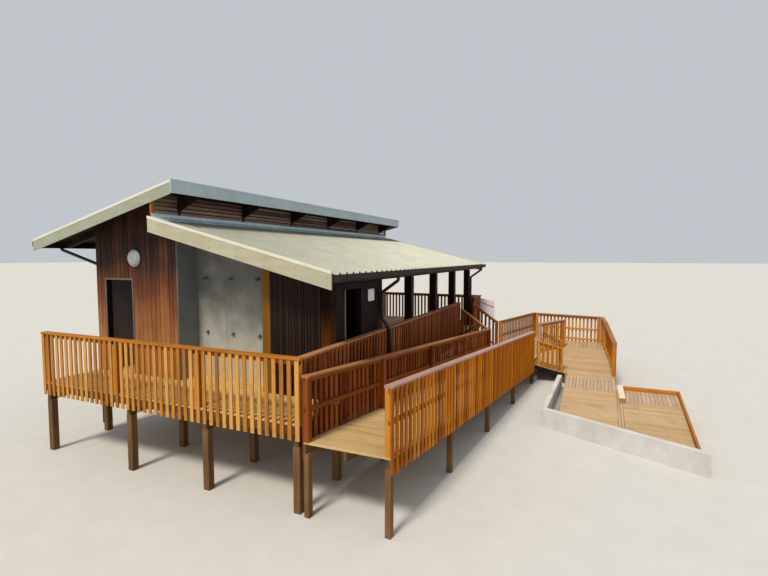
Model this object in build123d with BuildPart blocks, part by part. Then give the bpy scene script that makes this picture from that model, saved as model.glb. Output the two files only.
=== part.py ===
from build123d import *
import os
from math import ceil, cos, hypot, radians, tan

os.makedirs("parts", exist_ok=True)

# Frame: millimetres, +Z up. X runs across the cabin to the right, Y runs along its ridge,
# away from the gable with the doorway. It is drawn from the deck's near right corner, at the
# lowest ground; each finished piece is moved so that the origin is the middle of the base of
# the foot at that corner.

# Levels above the lowest ground
landing_level = 600
second_ramp_foot = 350
path_level = 1150
deck_level = 1400

# Deck
deck_width = 6040
left_setback = 15
front_deck_depth = 1160
board = 32
joist_width = 45
joist_depth = 140
joist_pitch = 980
bearer_width = 90
bearer_depth = 190
rim = 32
foot_post = 120

# Cabin frame: square posts at equal bays along the right side
bay = 1960
bays = 5
post = 190
side_setback = 145
wall = 120
main_room_width = 2395
doorway_width = 865
doorway_height = 2030
doorway_offset = 274
side_door_width = 700
side_door_offset = 500
side_door_drop = 68
shower_bay_width = 2056
shower_bay_depth = 520
bay_post = 178
panel = 12

# Roof: two single slopes, the upper one oversailing a band of louvres
lower_pitch = 14
upper_pitch = 14
gable_overhang = 530
right_eave_overhang = 392
left_eave_overhang = 1285
ridge_overhang = 555
ridge_rise = 670
verandah_height = 1998
sheet = 38
lining = 18
rafter_width = 70
rafter_depth = 140
beam_depth = 150
beam_width = 95
barge_width = 32
barge_depth = 250
lower_barge_depth = 290
barge_reach = 95
barge_setback = 60
ridge_fascia_depth = 255
eave_board = 25
barge_lip = 12
slats = 5
slat_gap = 18
slat_thickness = 22
band_depth = 50
flashing = 8
flashing_height = 80
flashing_leg = 190

# Rainwater goods
gutter_width = 110
gutter_depth = 100
gutter_wall = 6
gutter_gap = 4
eave_board_depth = 150
pipe_slope = 15
gutter_lap = 35
pipe_radius = 38
pipe_gap = 12
pipe_bend = 60
pipe_drop = 90
left_pipe_drop = 66
pipe_foot = 150
neck_fall = 260
rail_kink = 160

# Balustrades
rail_height = 1000
cap_overhang = 10
cap_thickness = 36
rail_post = 90
rail_width = 45
rail_depth = 70
picket = 70
picket_pitch = 138
picket_thickness = 22
picket_drop = 250
rail_lift = 60
fence_bay = 2350
wedge_rail_height = 730
brace_width = 60
brace_rise = 720

# First ramp: from the path, down and away, turned a little from the cabin
ramp_turn = 5.5
ramp_gap = 60
ramp_width = 1398
stringer = 45
stringer_depth = 140
ramp_foot = 90
ramp_foot_pitch = 2350
ramp_trim = 40
slope_gap = 0.95
foot_inset = 60
landing_joist_pitch = 900

# Stair from the deck to the landing
risers = 5
going = 230
tread = 40
tread_gap = 6
string_depth = 235
stair_rail_setback = 35

# Landing and second ramp: plan corners, measured in X and Y from the stair's near foot
landing_far_left_at = (860, 5050)
landing_far_right_at = (3410, 4620)
divider_near_at = (1420, 1850)
divider_far_at = (2130, 3280)
second_ramp_top_right_at = (3490, 3280)
second_ramp_foot_left_at = (2230, 310)
second_ramp_foot_right_at = (3680, 310)

# Lower walk beside the kerb: lengths in X and Y from the second ramp's left foot
walk_foot_level = 250
walk_fall_length = 4500
walk_left_at = 140
walk_lean = 1.3
edge_width = 55
edge_gap = 5
kerb_width = 120
kerb_height = 430
kerb_start_at = (-93, -721)
kerb_corner_at = (-236, -4118)
kerb_end_at = (2751, -5589)
channel_level = 60
side_walk_setback = 1350
side_walk_right_at = 2840
side_walk_lean = 3.2
upstand_width = 45
upstand_height = 110
walk_beam_at = (1444, -2480)
walk_beam_width = 140
walk_beam_length = 1180
walk_beam_height = 115
stub_setback = 450
stub_width = 45
stub_height = 180

# Fittings
light_radius = 175
light_depth = 70
light_height = 2450
light_offset = 1190
frame_board = 40
frame_lip = 12
shower_first = 270
shower_pitch = 665
shower_head_height = 2050
shower_valve_height = 925
shower_reach = 95
shower_arm = 14
shower_head = 36
shower_head_depth = 30
shower_valve = 42
shower_valve_depth = 45
notice_width = 280
notice_height = 240
notice_thickness = 6
notice_offset = 275
notice_foot = 1600
sign_offset = 270
sign_width = 500
sign_top = 1000
sign_fall = 90
sign_lap = 60
sign_thickness = 18

# Values worked out from the sizes above
frame_length = bays * bay + post
frame_near = front_deck_depth
frame_far = frame_near + frame_length
deck_length = frame_far + front_deck_depth
right_face = -side_setback
left_face = left_setback - deck_width
main_wall_x = left_face + main_room_width
roof_near = frame_near - gable_overhang
roof_far = frame_far + gable_overhang
lower_top_x = main_wall_x - wall + band_depth
ridge_x = lower_top_x + ridge_overhang
lower_eave_x = right_face + right_eave_overhang
upper_eave_x = left_face - left_eave_overhang
lower_slope = tan(radians(lower_pitch))
upper_slope = tan(radians(upper_pitch))
sheet_rise_lower = sheet / cos(radians(lower_pitch))
sheet_rise_upper = sheet / cos(radians(upper_pitch))
lower_drop = sheet_rise_lower + lining
upper_drop = sheet_rise_upper + lining
beam_x1 = right_face - (post - beam_width) / 2
beam_x0 = beam_x1 - beam_width
beam_foot = deck_level + verandah_height
beam_top = beam_foot + beam_depth
lower_roof_rise = (beam_x1 - lower_top_x) * lower_slope + lower_drop + rafter_depth
lower_roof_top = beam_top + lower_roof_rise
ridge_top = lower_roof_top + ridge_rise
bearer_top = deck_level - board - joist_depth
bearer_base = bearer_top - bearer_depth
door_x0 = left_face + doorway_offset
door_x1 = door_x0 + doorway_width
door_head = deck_level + doorway_height
bay_post_x0 = main_wall_x + shower_bay_width
bay_post_x1 = bay_post_x0 + bay_post
shower_back_y = frame_near + shower_bay_depth
side_door_y0 = frame_near + side_door_offset
side_door_y1 = side_door_y0 + side_door_width
side_door_head = beam_foot - side_door_drop
stair_near = frame_near + (bays - 1) * bay + post
stair_far = frame_near + bays * bay
stair_run = (risers - 1) * going
riser = (deck_level - landing_level) / risers
ramp_shift = stair_near * tan(radians(ramp_turn))
ramp_left_start = (ramp_gap, 0)
ramp_left_end = (ramp_gap + ramp_shift, stair_near)
ramp_right_start = (ramp_gap + ramp_width, 0)
ramp_right_end = (ramp_gap + ramp_width + ramp_shift, stair_near)
landing_near = (stair_run, stair_near)
landing_stair = (stair_run, stair_far)


def moved(point, step):
    """A plan point moved by a step in X and Y."""
    return (point[0] + step[0], point[1] + step[1])


landing_far_left = moved(landing_near, landing_far_left_at)
landing_far_right = moved(landing_near, landing_far_right_at)
divider_near = moved(landing_near, divider_near_at)
divider_far = moved(landing_near, divider_far_at)
second_ramp_top_right = moved(landing_near, second_ramp_top_right_at)
second_ramp_foot_left = moved(landing_near, second_ramp_foot_left_at)
second_ramp_foot_right = moved(landing_near, second_ramp_foot_right_at)
kerb_start = moved(second_ramp_foot_left, kerb_start_at)
kerb_corner = moved(second_ramp_foot_left, kerb_corner_at)
kerb_end = moved(second_ramp_foot_left, kerb_end_at)
walk_far = second_ramp_foot_left[1]
walk_front = walk_far - walk_fall_length
walk_left = second_ramp_foot_left[0] + walk_left_at
side_walk_right = second_ramp_foot_left[0] + side_walk_right_at
side_walk_far = walk_far - side_walk_setback
edge_x = second_ramp_foot_right[0] - side_walk_setback * tan(radians(walk_lean))
side_walk_left = edge_x + 2 * edge_width + 3 * edge_gap


def lower_roof_z(x):
    """Height of the lower roof's top face above x."""
    return lower_roof_top - (x - lower_top_x) * lower_slope


def upper_roof_z(x):
    """Height of the upper roof's top face above x."""
    return ridge_top - (ridge_x - x) * upper_slope


def block(x0, x1, y0, y1, z0, z1):
    """A straight block between two corners, added to the part being made."""
    with Locations(((x0 + x1) / 2, (y0 + y1) / 2, (z0 + z1) / 2)):
        Box(x1 - x0, y1 - y0, z1 - z0)


def save(piece, name):
    """Moves a finished piece to the corner foot's frame, labels it and writes it."""
    placed = piece.moved(Location((rim + foot_post / 2, -rim - foot_post / 2, 0)))
    placed.label = name
    export_step(placed, f"parts/{name}.step")


def along_ridge(outline, y0, y1):
    """An outline drawn in X and Z, carried along Y, added to the part being made."""
    plane = Plane(origin=(0, y0, 0), x_dir=(1, 0, 0), z_dir=(0, -1, 0))
    with BuildSketch(plane) as face:
        Polygon(*outline, align=None)
    extrude(face.sketch, amount=-(y1 - y0))


def under_roof(top, x0, x1, low, high):
    """The strip from low to high below a roof face, between x0 and x1."""
    return [(x0, top(x0) - low), (x1, top(x1) - low), (x1, top(x1) - high), (x0, top(x0) - high)]


def wall_outline(x0, x1, foot, top, drop):
    """A wall between x0 and x1 whose head is drop below a roof face."""
    return [(x0, foot), (x1, foot), (x1, top(x1) - drop), (x0, top(x0) - drop)]


def run_plane(start, end):
    """The upright plane of a run in plan: x along it, y up, its normal to the right of travel."""
    along = Vector(end[0] - start[0], end[1] - start[1], 0).normalized()
    return Plane(origin=(start[0], start[1], 0), x_dir=along, z_dir=(along.Y, -along.X, 0))


def plate_on(plane, outline, near, far):
    """An outline on an upright plane, filled from offset near to offset far."""
    with BuildSketch(plane.offset(near)) as face:
        Polygon(*outline, align=None)
    extrude(face.sketch, amount=far - near)


def cut_between(corners, thickness, points):
    """A floor over plan corners, with its top face through three points."""
    a, b, c = (Vector(*p) for p in points)
    normal = (b - a).cross(c - a).normalized()
    if normal.Z < 0:
        normal = normal * -1
    low = min(z for x, y, z in points) - 2 * thickness
    high = max(z for x, y, z in points) + thickness
    with BuildPart(mode=Mode.PRIVATE) as floor:
        with BuildSketch(Plane.XY.offset(low)):
            Polygon(*corners, align=None)
        extrude(amount=high - low)
        split(bisect_by=Plane(origin=a, z_dir=normal), keep=Keep.BOTTOM)
        split(bisect_by=Plane(origin=a - Vector(0, 0, thickness), z_dir=normal), keep=Keep.TOP)
    return floor.part


def fence(start, end, floor_start, floor_end, height, drop=picket_drop, pickets_right=True,
          mid_rail=True, foot_rail=False, cap_from=0, cap_to=0, lift=0):
    """A straight balustrade: pickets on one side, rails and posts behind them, a cap on top."""
    plane = run_plane(start, end)
    length = hypot(end[0] - start[0], end[1] - start[1])
    fall = (floor_end - floor_start) / length
    side = 1 if pickets_right else -1
    spaces = max(1, round(length / fence_bay))
    step = (length - rail_post) / spaces
    under_cap = height - cap_thickness

    def band(x0, x1, low, high):
        z0 = floor_start + fall * x0
        z1 = floor_start + fall * x1
        return [(x0, z0 + low), (x1, z1 + low), (x1, z1 + high), (x0, z0 + high)]

    rails = [under_cap - rail_depth]
    if mid_rail:
        rails.append((under_cap - rail_depth) / 2)
    if foot_rail:
        rails.append(rail_lift)
    with BuildPart(mode=Mode.PRIVATE) as run:
        count = max(2, round((length - picket) / picket_pitch))
        pitch = (length - picket) / count
        with BuildSketch(plane) as pickets:
            for i in range(count + 1):
                Polygon(*band(i * pitch, i * pitch + picket, -drop, under_cap), align=None)
        extrude(pickets.sketch, amount=side * picket_thickness)
        for low in rails:
            plate_on(plane, band(0, length, low, low + rail_depth), 0, -side * rail_width)
        for i in range(spaces + 1):
            outline = band(i * step, i * step + rail_post, lift, under_cap)
            plate_on(plane, outline, 0, -side * rail_post)
        outline = band(-cap_from, length + cap_to, under_cap, height)
        plate_on(plane, outline, -side * (rail_post + cap_overhang),
                 side * (picket_thickness + cap_overhang))
    return run.part


def point_along(start, end, distance):
    """The plan point that lies distance from start towards end."""
    length = hypot(end[0] - start[0], end[1] - start[1])
    return tuple(s + (e - s) * distance / length for s, e in zip(start, end))


def pipe(points, y):
    """A round pipe through points given in X and Z, at one Y."""
    with BuildPart(mode=Mode.PRIVATE) as run:
        with BuildLine() as route:
            FilletPolyline(*[(x, y, z) for x, z in points], radius=pipe_bend)
        with BuildSketch(Plane(origin=route.line @ 0, z_dir=route.line % 0)):
            Circle(pipe_radius)
        sweep(path=route.line)
    return run.part


# Deck: feet, bearers, joists, floor and edge boards
right_feet_x = -rim - foot_post / 2
foot_columns = [left_face + wall / 2, main_wall_x - wall / 2, (main_wall_x + right_face) / 2]
foot_columns.append(right_feet_x)
foot_rows = [frame_near + i * bay + post / 2 for i in range(bays + 1)]
foot_rows.insert(0, rim + foot_post / 2)
foot_rows.append(deck_length - rim - foot_post / 2)

with BuildPart() as deck_feet:
    for foot_x in foot_columns:
        for foot_y in foot_rows:
            block(foot_x - foot_post / 2, foot_x + foot_post / 2,
                  foot_y - foot_post / 2, foot_y + foot_post / 2, 0, bearer_base)
save(deck_feet.part, "deck_feet")

joist_count = ceil((deck_length - 2 * rim) / joist_pitch)
joist_step = (deck_length - 2 * rim - joist_width) / joist_count
with BuildPart() as deck_frame:
    block(-deck_width, 0, 0, deck_length, bearer_top, bearer_top + joist_depth)
    with Locations((-deck_width / 2, deck_length / 2, bearer_top + joist_depth / 2)):
        Box(deck_width - 2 * rim, deck_length - 2 * rim, joist_depth, mode=Mode.SUBTRACT)
    for i in range(joist_count + 1):
        joist_y = rim + i * joist_step
        block(rim - deck_width, -rim, joist_y, joist_y + joist_width,
              bearer_top, bearer_top + joist_depth)
    for foot_x in foot_columns:
        block(foot_x - bearer_width / 2, foot_x + bearer_width / 2,
              rim, deck_length - rim, bearer_base, bearer_top)
save(deck_frame.part, "deck_frame")

with BuildPart() as deck_floor:
    block(-deck_width, 0, 0, deck_length, deck_level - board, deck_level)
save(deck_floor.part, "deck_floor")

# Cabin frame: posts along the right side and the beam on them
post_x0 = right_face - post
with BuildPart() as frame_posts:
    for i in range(bays + 1):
        post_y = frame_near + i * bay
        block(post_x0, right_face, post_y, post_y + post, deck_level, beam_foot)
save(frame_posts.part, "frame_posts")

with BuildPart() as eave_beam:
    block(beam_x0, beam_x1, frame_near, frame_far, beam_foot, beam_top)
save(eave_beam.part, "eave_beam")

# Main room: near gable beside and over the doorway, side walls and far gable
room_x1 = main_wall_x - wall
with BuildPart() as near_gable_walls:
    for x0, x1 in ((left_face, door_x0), (door_x1, room_x1)):
        along_ridge(wall_outline(x0, x1, deck_level, upper_roof_z, upper_drop),
                    frame_near, frame_near + wall)
    along_ridge(wall_outline(bay_post_x1, post_x0, deck_level, lower_roof_z, lower_drop),
                frame_near, frame_near + wall)
save(near_gable_walls.part, "near_gable_walls")

with BuildPart() as far_gable_wall:
    along_ridge(wall_outline(left_face, room_x1, deck_level, upper_roof_z, upper_drop),
                frame_far - wall, frame_far)
save(far_gable_wall.part, "far_gable_wall")

with BuildPart() as door_heads:
    along_ridge(wall_outline(door_x0, door_x1, door_head, upper_roof_z, upper_drop),
                frame_near, frame_near + wall)
    block(right_face - wall, right_face, side_door_y0, side_door_y1, side_door_head, beam_foot)
save(door_heads.part, "door_heads")

main_wall_top = lower_roof_z(lower_top_x) - lower_drop
with BuildPart() as main_side_wall:
    along_ridge([(room_x1, deck_level), (main_wall_x, deck_level),
                 (main_wall_x, lower_roof_z(main_wall_x) - lower_drop),
                 (lower_top_x, main_wall_top), (room_x1, main_wall_top)], frame_near, frame_far)
save(main_side_wall.part, "main_side_wall")

left_wall_top = upper_roof_z(left_face) - upper_drop - rafter_depth
with BuildPart() as left_wall:
    block(left_face, left_face + wall, frame_near + wall, frame_far - wall,
          deck_level, left_wall_top)
save(left_wall.part, "left_wall")

# Side room in the near bay, with the shower bay let into its gable
with BuildPart() as shower_bay_post:
    outline = wall_outline(bay_post_x0, bay_post_x1, deck_level, lower_roof_z,
                           lower_drop + rafter_depth)
    along_ridge(outline, frame_near, frame_near + bay_post)
save(shower_bay_post.part, "shower_bay_post")

with BuildPart() as shower_cheek:
    outline = wall_outline(bay_post_x1 - wall, bay_post_x1, deck_level, lower_roof_z,
                           lower_drop + rafter_depth)
    along_ridge(outline, frame_near + bay_post, shower_back_y + wall)
save(shower_cheek.part, "shower_cheek")

room_far = frame_near + bay + wall
lean_to_pieces = [("shower_back_wall", main_wall_x, bay_post_x1 - wall, shower_back_y),
                  ("side_room_far_wall", main_wall_x, post_x0, room_far - wall)]
for name, x0, x1, y0 in lean_to_pieces:
    with BuildPart() as lean_to_wall:
        along_ridge(wall_outline(x0, x1, deck_level, lower_roof_z, lower_drop), y0, y0 + wall)
    save(lean_to_wall.part, name)

with BuildPart() as shower_panels:
    along_ridge(wall_outline(main_wall_x, bay_post_x1 - wall, deck_level, lower_roof_z, lower_drop),
                shower_back_y - panel, shower_back_y)
    along_ridge(wall_outline(main_wall_x, main_wall_x + panel, deck_level, lower_roof_z,
                             lower_drop + rafter_depth), frame_near, shower_back_y - panel)
save(shower_panels.part, "shower_panels")

with BuildPart() as side_walls:
    for y0, y1 in ((frame_near + post, side_door_y0), (side_door_y1, frame_near + bay)):
        block(right_face - wall, right_face, y0, y1, deck_level, beam_foot)
save(side_walls.part, "side_walls")

frame_y0 = frame_near - frame_lip
frame_y1 = frame_near + wall
frame_x0 = right_face - wall
frame_x1 = right_face + frame_lip
with BuildPart() as doorway_frames:
    block(door_x0, door_x0 + frame_board, frame_y0, frame_y1, deck_level, door_head)
    block(door_x1 - frame_board, door_x1, frame_y0, frame_y1, deck_level, door_head)
    block(door_x0, door_x1, frame_y0, frame_y1, door_head - frame_board, door_head)
    block(frame_x0, frame_x1, side_door_y0, side_door_y0 + frame_board, deck_level, side_door_head)
    block(frame_x0, frame_x1, side_door_y1 - frame_board, side_door_y1, deck_level, side_door_head)
    block(frame_x0, frame_x1, side_door_y0, side_door_y1,
          side_door_head - frame_board, side_door_head)
save(doorway_frames.part, "doorway_frames")

# Rafters under both roofs: beside the closed walls, else over the middle of each post
rafter_middle = (post - rafter_width) / 2
upper_rafter_rows = [frame_near + i * bay + rafter_middle for i in range(bays + 1)]
upper_rafter_rows[0] = frame_near + wall
upper_rafter_rows[bays] = frame_far - wall - rafter_width
lower_rafter_rows = [frame_near + i * bay + rafter_middle for i in range(bays + 1)]
lower_rafter_rows[0] = frame_near + wall
lower_rafter_rows[1] = room_far
eave_board_x = lower_eave_x - gutter_lap
upper_board_x = upper_eave_x + gutter_lap

near_end = roof_near + barge_width
far_end = roof_far - barge_width

with BuildPart() as lower_roof_frame:
    along_ridge(under_roof(lower_roof_z, lower_top_x, eave_board_x - eave_board,
                           sheet_rise_lower, lower_drop), near_end, far_end)
    for rafter_y in lower_rafter_rows:
        outline = under_roof(lower_roof_z, main_wall_x, eave_board_x - eave_board,
                             lower_drop, lower_drop + rafter_depth)
        along_ridge(outline, rafter_y, rafter_y + rafter_width)
save(lower_roof_frame.part, "lower_roof_frame")

with BuildPart() as upper_roof_frame:
    along_ridge(under_roof(upper_roof_z, upper_board_x + eave_board, ridge_x - barge_width,
                           sheet_rise_upper, upper_drop), near_end, far_end)
    for rafter_y in upper_rafter_rows:
        outline = under_roof(upper_roof_z, upper_board_x + eave_board, ridge_x - barge_width,
                             upper_drop, upper_drop + rafter_depth)
        along_ridge(outline, rafter_y, rafter_y + rafter_width)
save(upper_roof_frame.part, "upper_roof_frame")

with BuildPart() as lower_roof_sheet:
    along_ridge(under_roof(lower_roof_z, lower_top_x, lower_eave_x, 0, sheet_rise_lower),
                near_end, far_end)
save(lower_roof_sheet.part, "lower_roof_sheet")

with BuildPart() as upper_roof_sheet:
    along_ridge(under_roof(upper_roof_z, upper_eave_x, ridge_x - barge_width,
                           0, sheet_rise_upper), near_end, far_end)
save(upper_roof_sheet.part, "upper_roof_sheet")

# Louvre band between the roofs: a plate on the main wall, studs and slats
plate_top = lower_roof_top + flashing_height - flashing
stud_rows = [near_end] + upper_rafter_rows + [far_end - rafter_width]
with BuildPart() as clerestory_frame:
    block(room_x1, lower_top_x, near_end, far_end, main_wall_top, plate_top)
    for i, stud_y in enumerate(stud_rows):
        drop = upper_drop if i in (0, bays + 2) else upper_drop + rafter_depth
        outline = wall_outline(room_x1, lower_top_x, plate_top, upper_roof_z, drop)
        along_ridge(outline, stud_y, stud_y + rafter_width)
save(clerestory_frame.part, "clerestory_frame")

band_height = upper_roof_z(lower_top_x - slat_thickness) - upper_drop - plate_top
slat_pitch = band_height / slats
with BuildPart() as louvres:
    for i in range(bays + 2):
        slat_y0 = stud_rows[i] + rafter_width
        slat_y1 = stud_rows[i + 1]
        for j in range(slats):
            slat_z = plate_top + j * slat_pitch + slat_gap / 2
            block(lower_top_x - slat_thickness, lower_top_x, slat_y0, slat_y1,
                  slat_z, slat_z + slat_pitch - slat_gap)
save(louvres.part, "clerestory_louvres")

# Barge boards on the gable edges, the ridge fascia and the flashing at the lower roof's head
with BuildPart() as lower_barges:
    for y0 in (roof_near, far_end):
        along_ridge(under_roof(lower_roof_z, lower_top_x - barge_reach,
                               lower_eave_x - barge_setback, -barge_lip, lower_barge_depth),
                    y0, y0 + barge_width)
save(lower_barges.part, "lower_barges")

with BuildPart() as upper_barges:
    for y0 in (roof_near, far_end):
        along_ridge(under_roof(upper_roof_z, upper_eave_x, ridge_x - barge_width,
                               -barge_lip, barge_depth), y0, y0 + barge_width)
save(upper_barges.part, "upper_barges")

with BuildPart() as ridge_fascia:
    block(ridge_x - barge_width, ridge_x, roof_near, roof_far,
          ridge_top + barge_lip - ridge_fascia_depth, ridge_top + barge_lip)
save(ridge_fascia.part, "ridge_fascia")

leg_x = lower_top_x + flashing_leg
with BuildPart() as apron_flashing:
    along_ridge([(lower_top_x, lower_roof_z(lower_top_x)), (leg_x, lower_roof_z(leg_x)),
                 (leg_x, lower_roof_z(leg_x) + flashing),
                 (lower_top_x + flashing, lower_roof_z(lower_top_x + flashing) + flashing),
                 (lower_top_x + flashing, lower_roof_top + flashing_height),
                 (lower_top_x, lower_roof_top + flashing_height)], near_end, far_end)
save(apron_flashing.part, "apron_flashing")

# Eave boards, gutters and downpipes
lower_board_top = lower_roof_z(eave_board_x) - sheet_rise_lower
upper_board_top = upper_roof_z(upper_board_x) - sheet_rise_upper
with BuildPart() as eave_boards:
    block(eave_board_x - eave_board, eave_board_x, near_end, far_end,
          lower_board_top - eave_board_depth, lower_board_top)
    block(upper_board_x, upper_board_x + eave_board, near_end, far_end,
          upper_board_top - eave_board_depth, upper_board_top)
save(eave_boards.part, "eave_boards")


def channel(x0, x1, top):
    """An open gutter between x0 and x1 with closed ends, added to the part being made."""
    block(x0, x1, near_end, far_end, top - gutter_depth, top)
    with Locations(((x0 + x1) / 2, (near_end + far_end) / 2, top + gutter_wall - gutter_depth / 2)):
        Box(x1 - x0 - 2 * gutter_wall, far_end - near_end - 2 * gutter_wall, gutter_depth,
            mode=Mode.SUBTRACT)


lower_gutter_top = lower_roof_z(lower_eave_x) - sheet_rise_lower - gutter_gap
upper_gutter_top = upper_roof_z(upper_eave_x) - sheet_rise_upper - gutter_gap
with BuildPart() as gutters:
    channel(eave_board_x, eave_board_x + gutter_width, lower_gutter_top)
    channel(upper_board_x - gutter_width, upper_board_x, upper_gutter_top)
save(gutters.part, "gutters")

lower_outlet_x = eave_board_x + gutter_width / 2
upper_outlet_x = upper_board_x - gutter_width / 2
lower_outlet_z = lower_gutter_top - gutter_depth
upper_outlet_z = upper_gutter_top - gutter_depth
post_pipe_x = right_face + pipe_radius + pipe_gap
outer_pipe_x = picket_thickness + cap_overhang + pipe_radius + pipe_gap
kink_z = deck_level + rail_height + pipe_radius
near_pipe_y = frame_near + bay + post / 2
far_pipe_y = stair_far + post / 2
left_pipe_x = -deck_width - pipe_radius - pipe_gap
left_neck = (left_pipe_x - upper_outlet_x) * tan(radians(pipe_slope))
near_route = [(lower_outlet_x, lower_outlet_z), (lower_outlet_x, lower_outlet_z - pipe_drop),
              (post_pipe_x, lower_outlet_z - pipe_drop - neck_fall),
              (post_pipe_x, kink_z + rail_kink), (outer_pipe_x, kink_z - rail_kink / 2),
              (outer_pipe_x, pipe_foot)]
far_route = near_route[:3] + [(post_pipe_x, deck_level)]
left_route = [(upper_outlet_x, upper_outlet_z), (upper_outlet_x, upper_outlet_z - left_pipe_drop),
              (left_pipe_x, upper_outlet_z - left_pipe_drop - left_neck), (left_pipe_x, pipe_foot)]
with BuildPart() as downpipes:
    add(pipe(near_route, near_pipe_y))
    add(pipe(far_route, far_pipe_y))
    add(pipe(left_route, frame_near + post / 2))
save(downpipes.part, "downpipes")

# Balustrades round the deck, open at the left end in front and behind
rail_level = (deck_level, deck_level)
corner = rail_post + cap_overhang
pipe_slot = 2 * pipe_radius + 2 * pipe_gap
edge_cap = picket_thickness + cap_overhang
with BuildPart() as end_balustrades:
    add(fence((-deck_width, 0), (0, 0), *rail_level, rail_height, mid_rail=False,
              cap_to=edge_cap))
    add(fence((0, deck_length), (-deck_width, deck_length), *rail_level, rail_height,
              mid_rail=False, cap_from=edge_cap))
save(end_balustrades.part, "end_balustrades")

side_runs = [(corner, near_pipe_y - pipe_slot / 2), (near_pipe_y + pipe_slot / 2, stair_near),
             (stair_far + post, deck_length - corner)]
with BuildPart() as side_balustrades:
    for y0, y1 in side_runs:
        add(fence((0, y0), (0, y1), *rail_level, rail_height))
save(side_balustrades.part, "side_balustrades")

# First ramp: floor, beams, feet and its two balustrades
ramp_corners = [ramp_left_start, ramp_right_start, ramp_right_end, ramp_left_end]
ramp_points = [(0, 0, path_level), (ramp_width, 0, path_level), (0, stair_near, landing_level)]
save(cut_between(ramp_corners, board, ramp_points), "ramp_floor")

ramp_run = hypot(ramp_shift, stair_near) - ramp_trim
beam_start = path_level - board - slope_gap
beam_end = beam_start - (path_level - landing_level) * ramp_run / (ramp_run + ramp_trim)
ramp_lines = [(ramp_left_start, 0), ((ramp_gap + ramp_width / 2, 0), -stringer / 2),
              (ramp_right_start, -stringer)]
ramp_left_trim = point_along(ramp_left_start, ramp_left_end, ramp_run)
ramp_right_trim = point_along(ramp_right_start, ramp_right_end, ramp_run)
landing_trim_level = beam_end + board + slope_gap
ramp_levels = (path_level, landing_trim_level)
save(fence(ramp_left_start, ramp_left_trim, *ramp_levels, rail_height, pickets_right=False,
           lift=slope_gap), "ramp_inner_balustrade")
save(fence(ramp_right_start, ramp_right_trim, *ramp_levels, rail_height, lift=slope_gap),
     "ramp_outer_balustrade")

second_edges = [(divider_far, second_ramp_foot_left, -1),
                (second_ramp_top_right, second_ramp_foot_right, 1)]
with BuildPart() as ramp_beams:
    for start, inset in ramp_lines:
        plane = run_plane(start, (start[0] + ramp_shift, stair_near))
        plate_on(plane, [(0, beam_start - stringer_depth), (ramp_run, beam_end - stringer_depth),
                         (ramp_run, beam_end), (0, beam_start)], inset, inset + stringer)
    for start, end, side in second_edges:
        length = hypot(end[0] - start[0], end[1] - start[1])
        fall = (landing_level - second_ramp_foot) / length
        head = landing_level - board - slope_gap
        x0 = stringer
        x1 = length - ramp_trim
        plate_on(run_plane(start, end), [(x0, head - fall * x0 - stringer_depth),
                                         (x1, head - fall * x1 - stringer_depth),
                                         (x1, head - fall * x1), (x0, head - fall * x0)],
                 0, side * stringer)
save(ramp_beams.part, "ramp_beams")

# Stair from the deck down to the landing: treads, strings and sloping balustrades
tread_y0 = stair_near + rail_post
tread_y1 = stair_far - rail_post
with BuildPart() as stair_treads:
    for i in range(1, risers):
        tread_top = deck_level - i * riser
        block((i - 1) * going + tread_gap, i * going, tread_y0, tread_y1,
              tread_top - tread, tread_top)
save(stair_treads.part, "stair_treads")

nosing_top = deck_level - riser
string_outline = [(0, nosing_top - string_depth), (stair_run, landing_level - string_depth),
                  (stair_run, landing_level), (0, nosing_top)]
with BuildPart() as stair_strings:
    for y0 in (tread_y0 - stringer, tread_y1):
        along_ridge(string_outline, y0, y0 + stringer)
save(stair_strings.part, "stair_strings")

rail_top_start = deck_level - riser - riser * stair_rail_setback / going
with BuildPart() as stair_balustrades:
    for y, outside_right in ((stair_near, True), (stair_far, False)):
        add(fence((stair_rail_setback, y), (stair_run, y), rail_top_start, landing_level,
                  rail_height, drop=0, mid_rail=False, foot_rail=True,
                  pickets_right=outside_right))
save(stair_balustrades.part, "stair_balustrades")

# Landing: floor, frame, feet and balustrades
landing_corners = [landing_near, ramp_right_end, divider_near, divider_far,
                   second_ramp_top_right, landing_far_right, landing_far_left, landing_stair]
with BuildPart() as landing_floor:
    with BuildSketch(Plane.XY.offset(landing_level - board)):
        Polygon(*landing_corners, align=None)
    extrude(amount=board)
save(landing_floor.part, "landing_floor")

frame_foot = landing_level - board - stringer_depth
joist_rows = range(1, ceil((landing_far_left[1] - stair_near) / landing_joist_pitch))
joist_places = [(stair_run, stair_near + i * landing_joist_pitch) for i in joist_rows]
with BuildPart() as landing_frame:
    with BuildSketch(Plane.XY.offset(frame_foot)):
        Polygon(*landing_corners, align=None)
        offset(amount=-stringer, mode=Mode.SUBTRACT)
    with BuildSketch(Plane.XY.offset(frame_foot)):
        with Locations(*joist_places):
            Rectangle(landing_far_right[0], stringer, align=(Align.MIN, Align.MIN))
        Polygon(*landing_corners, align=None, mode=Mode.INTERSECT)
    extrude(amount=stringer_depth)
save(landing_frame.part, "landing_frame")
foot_places = [(stair_run + foot_inset, stair_near + foot_inset),
               (stair_run + foot_inset, stair_far),
               (landing_far_left[0] + foot_inset, landing_far_left[1] - ramp_foot),
               (landing_far_right[0] - foot_inset, landing_far_right[1] - foot_inset),
               (divider_near[0] - foot_inset, divider_near[1]),
               (divider_far[0], divider_far[1] + foot_inset),
               (second_ramp_top_right[0] - foot_inset, second_ramp_top_right[1] + foot_inset)]
ramp_spaces = round(ramp_run / ramp_foot_pitch)
foot_step = (ramp_run - ramp_foot) / ramp_spaces
ramp_fall = (beam_start - beam_end) / ramp_run


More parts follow.
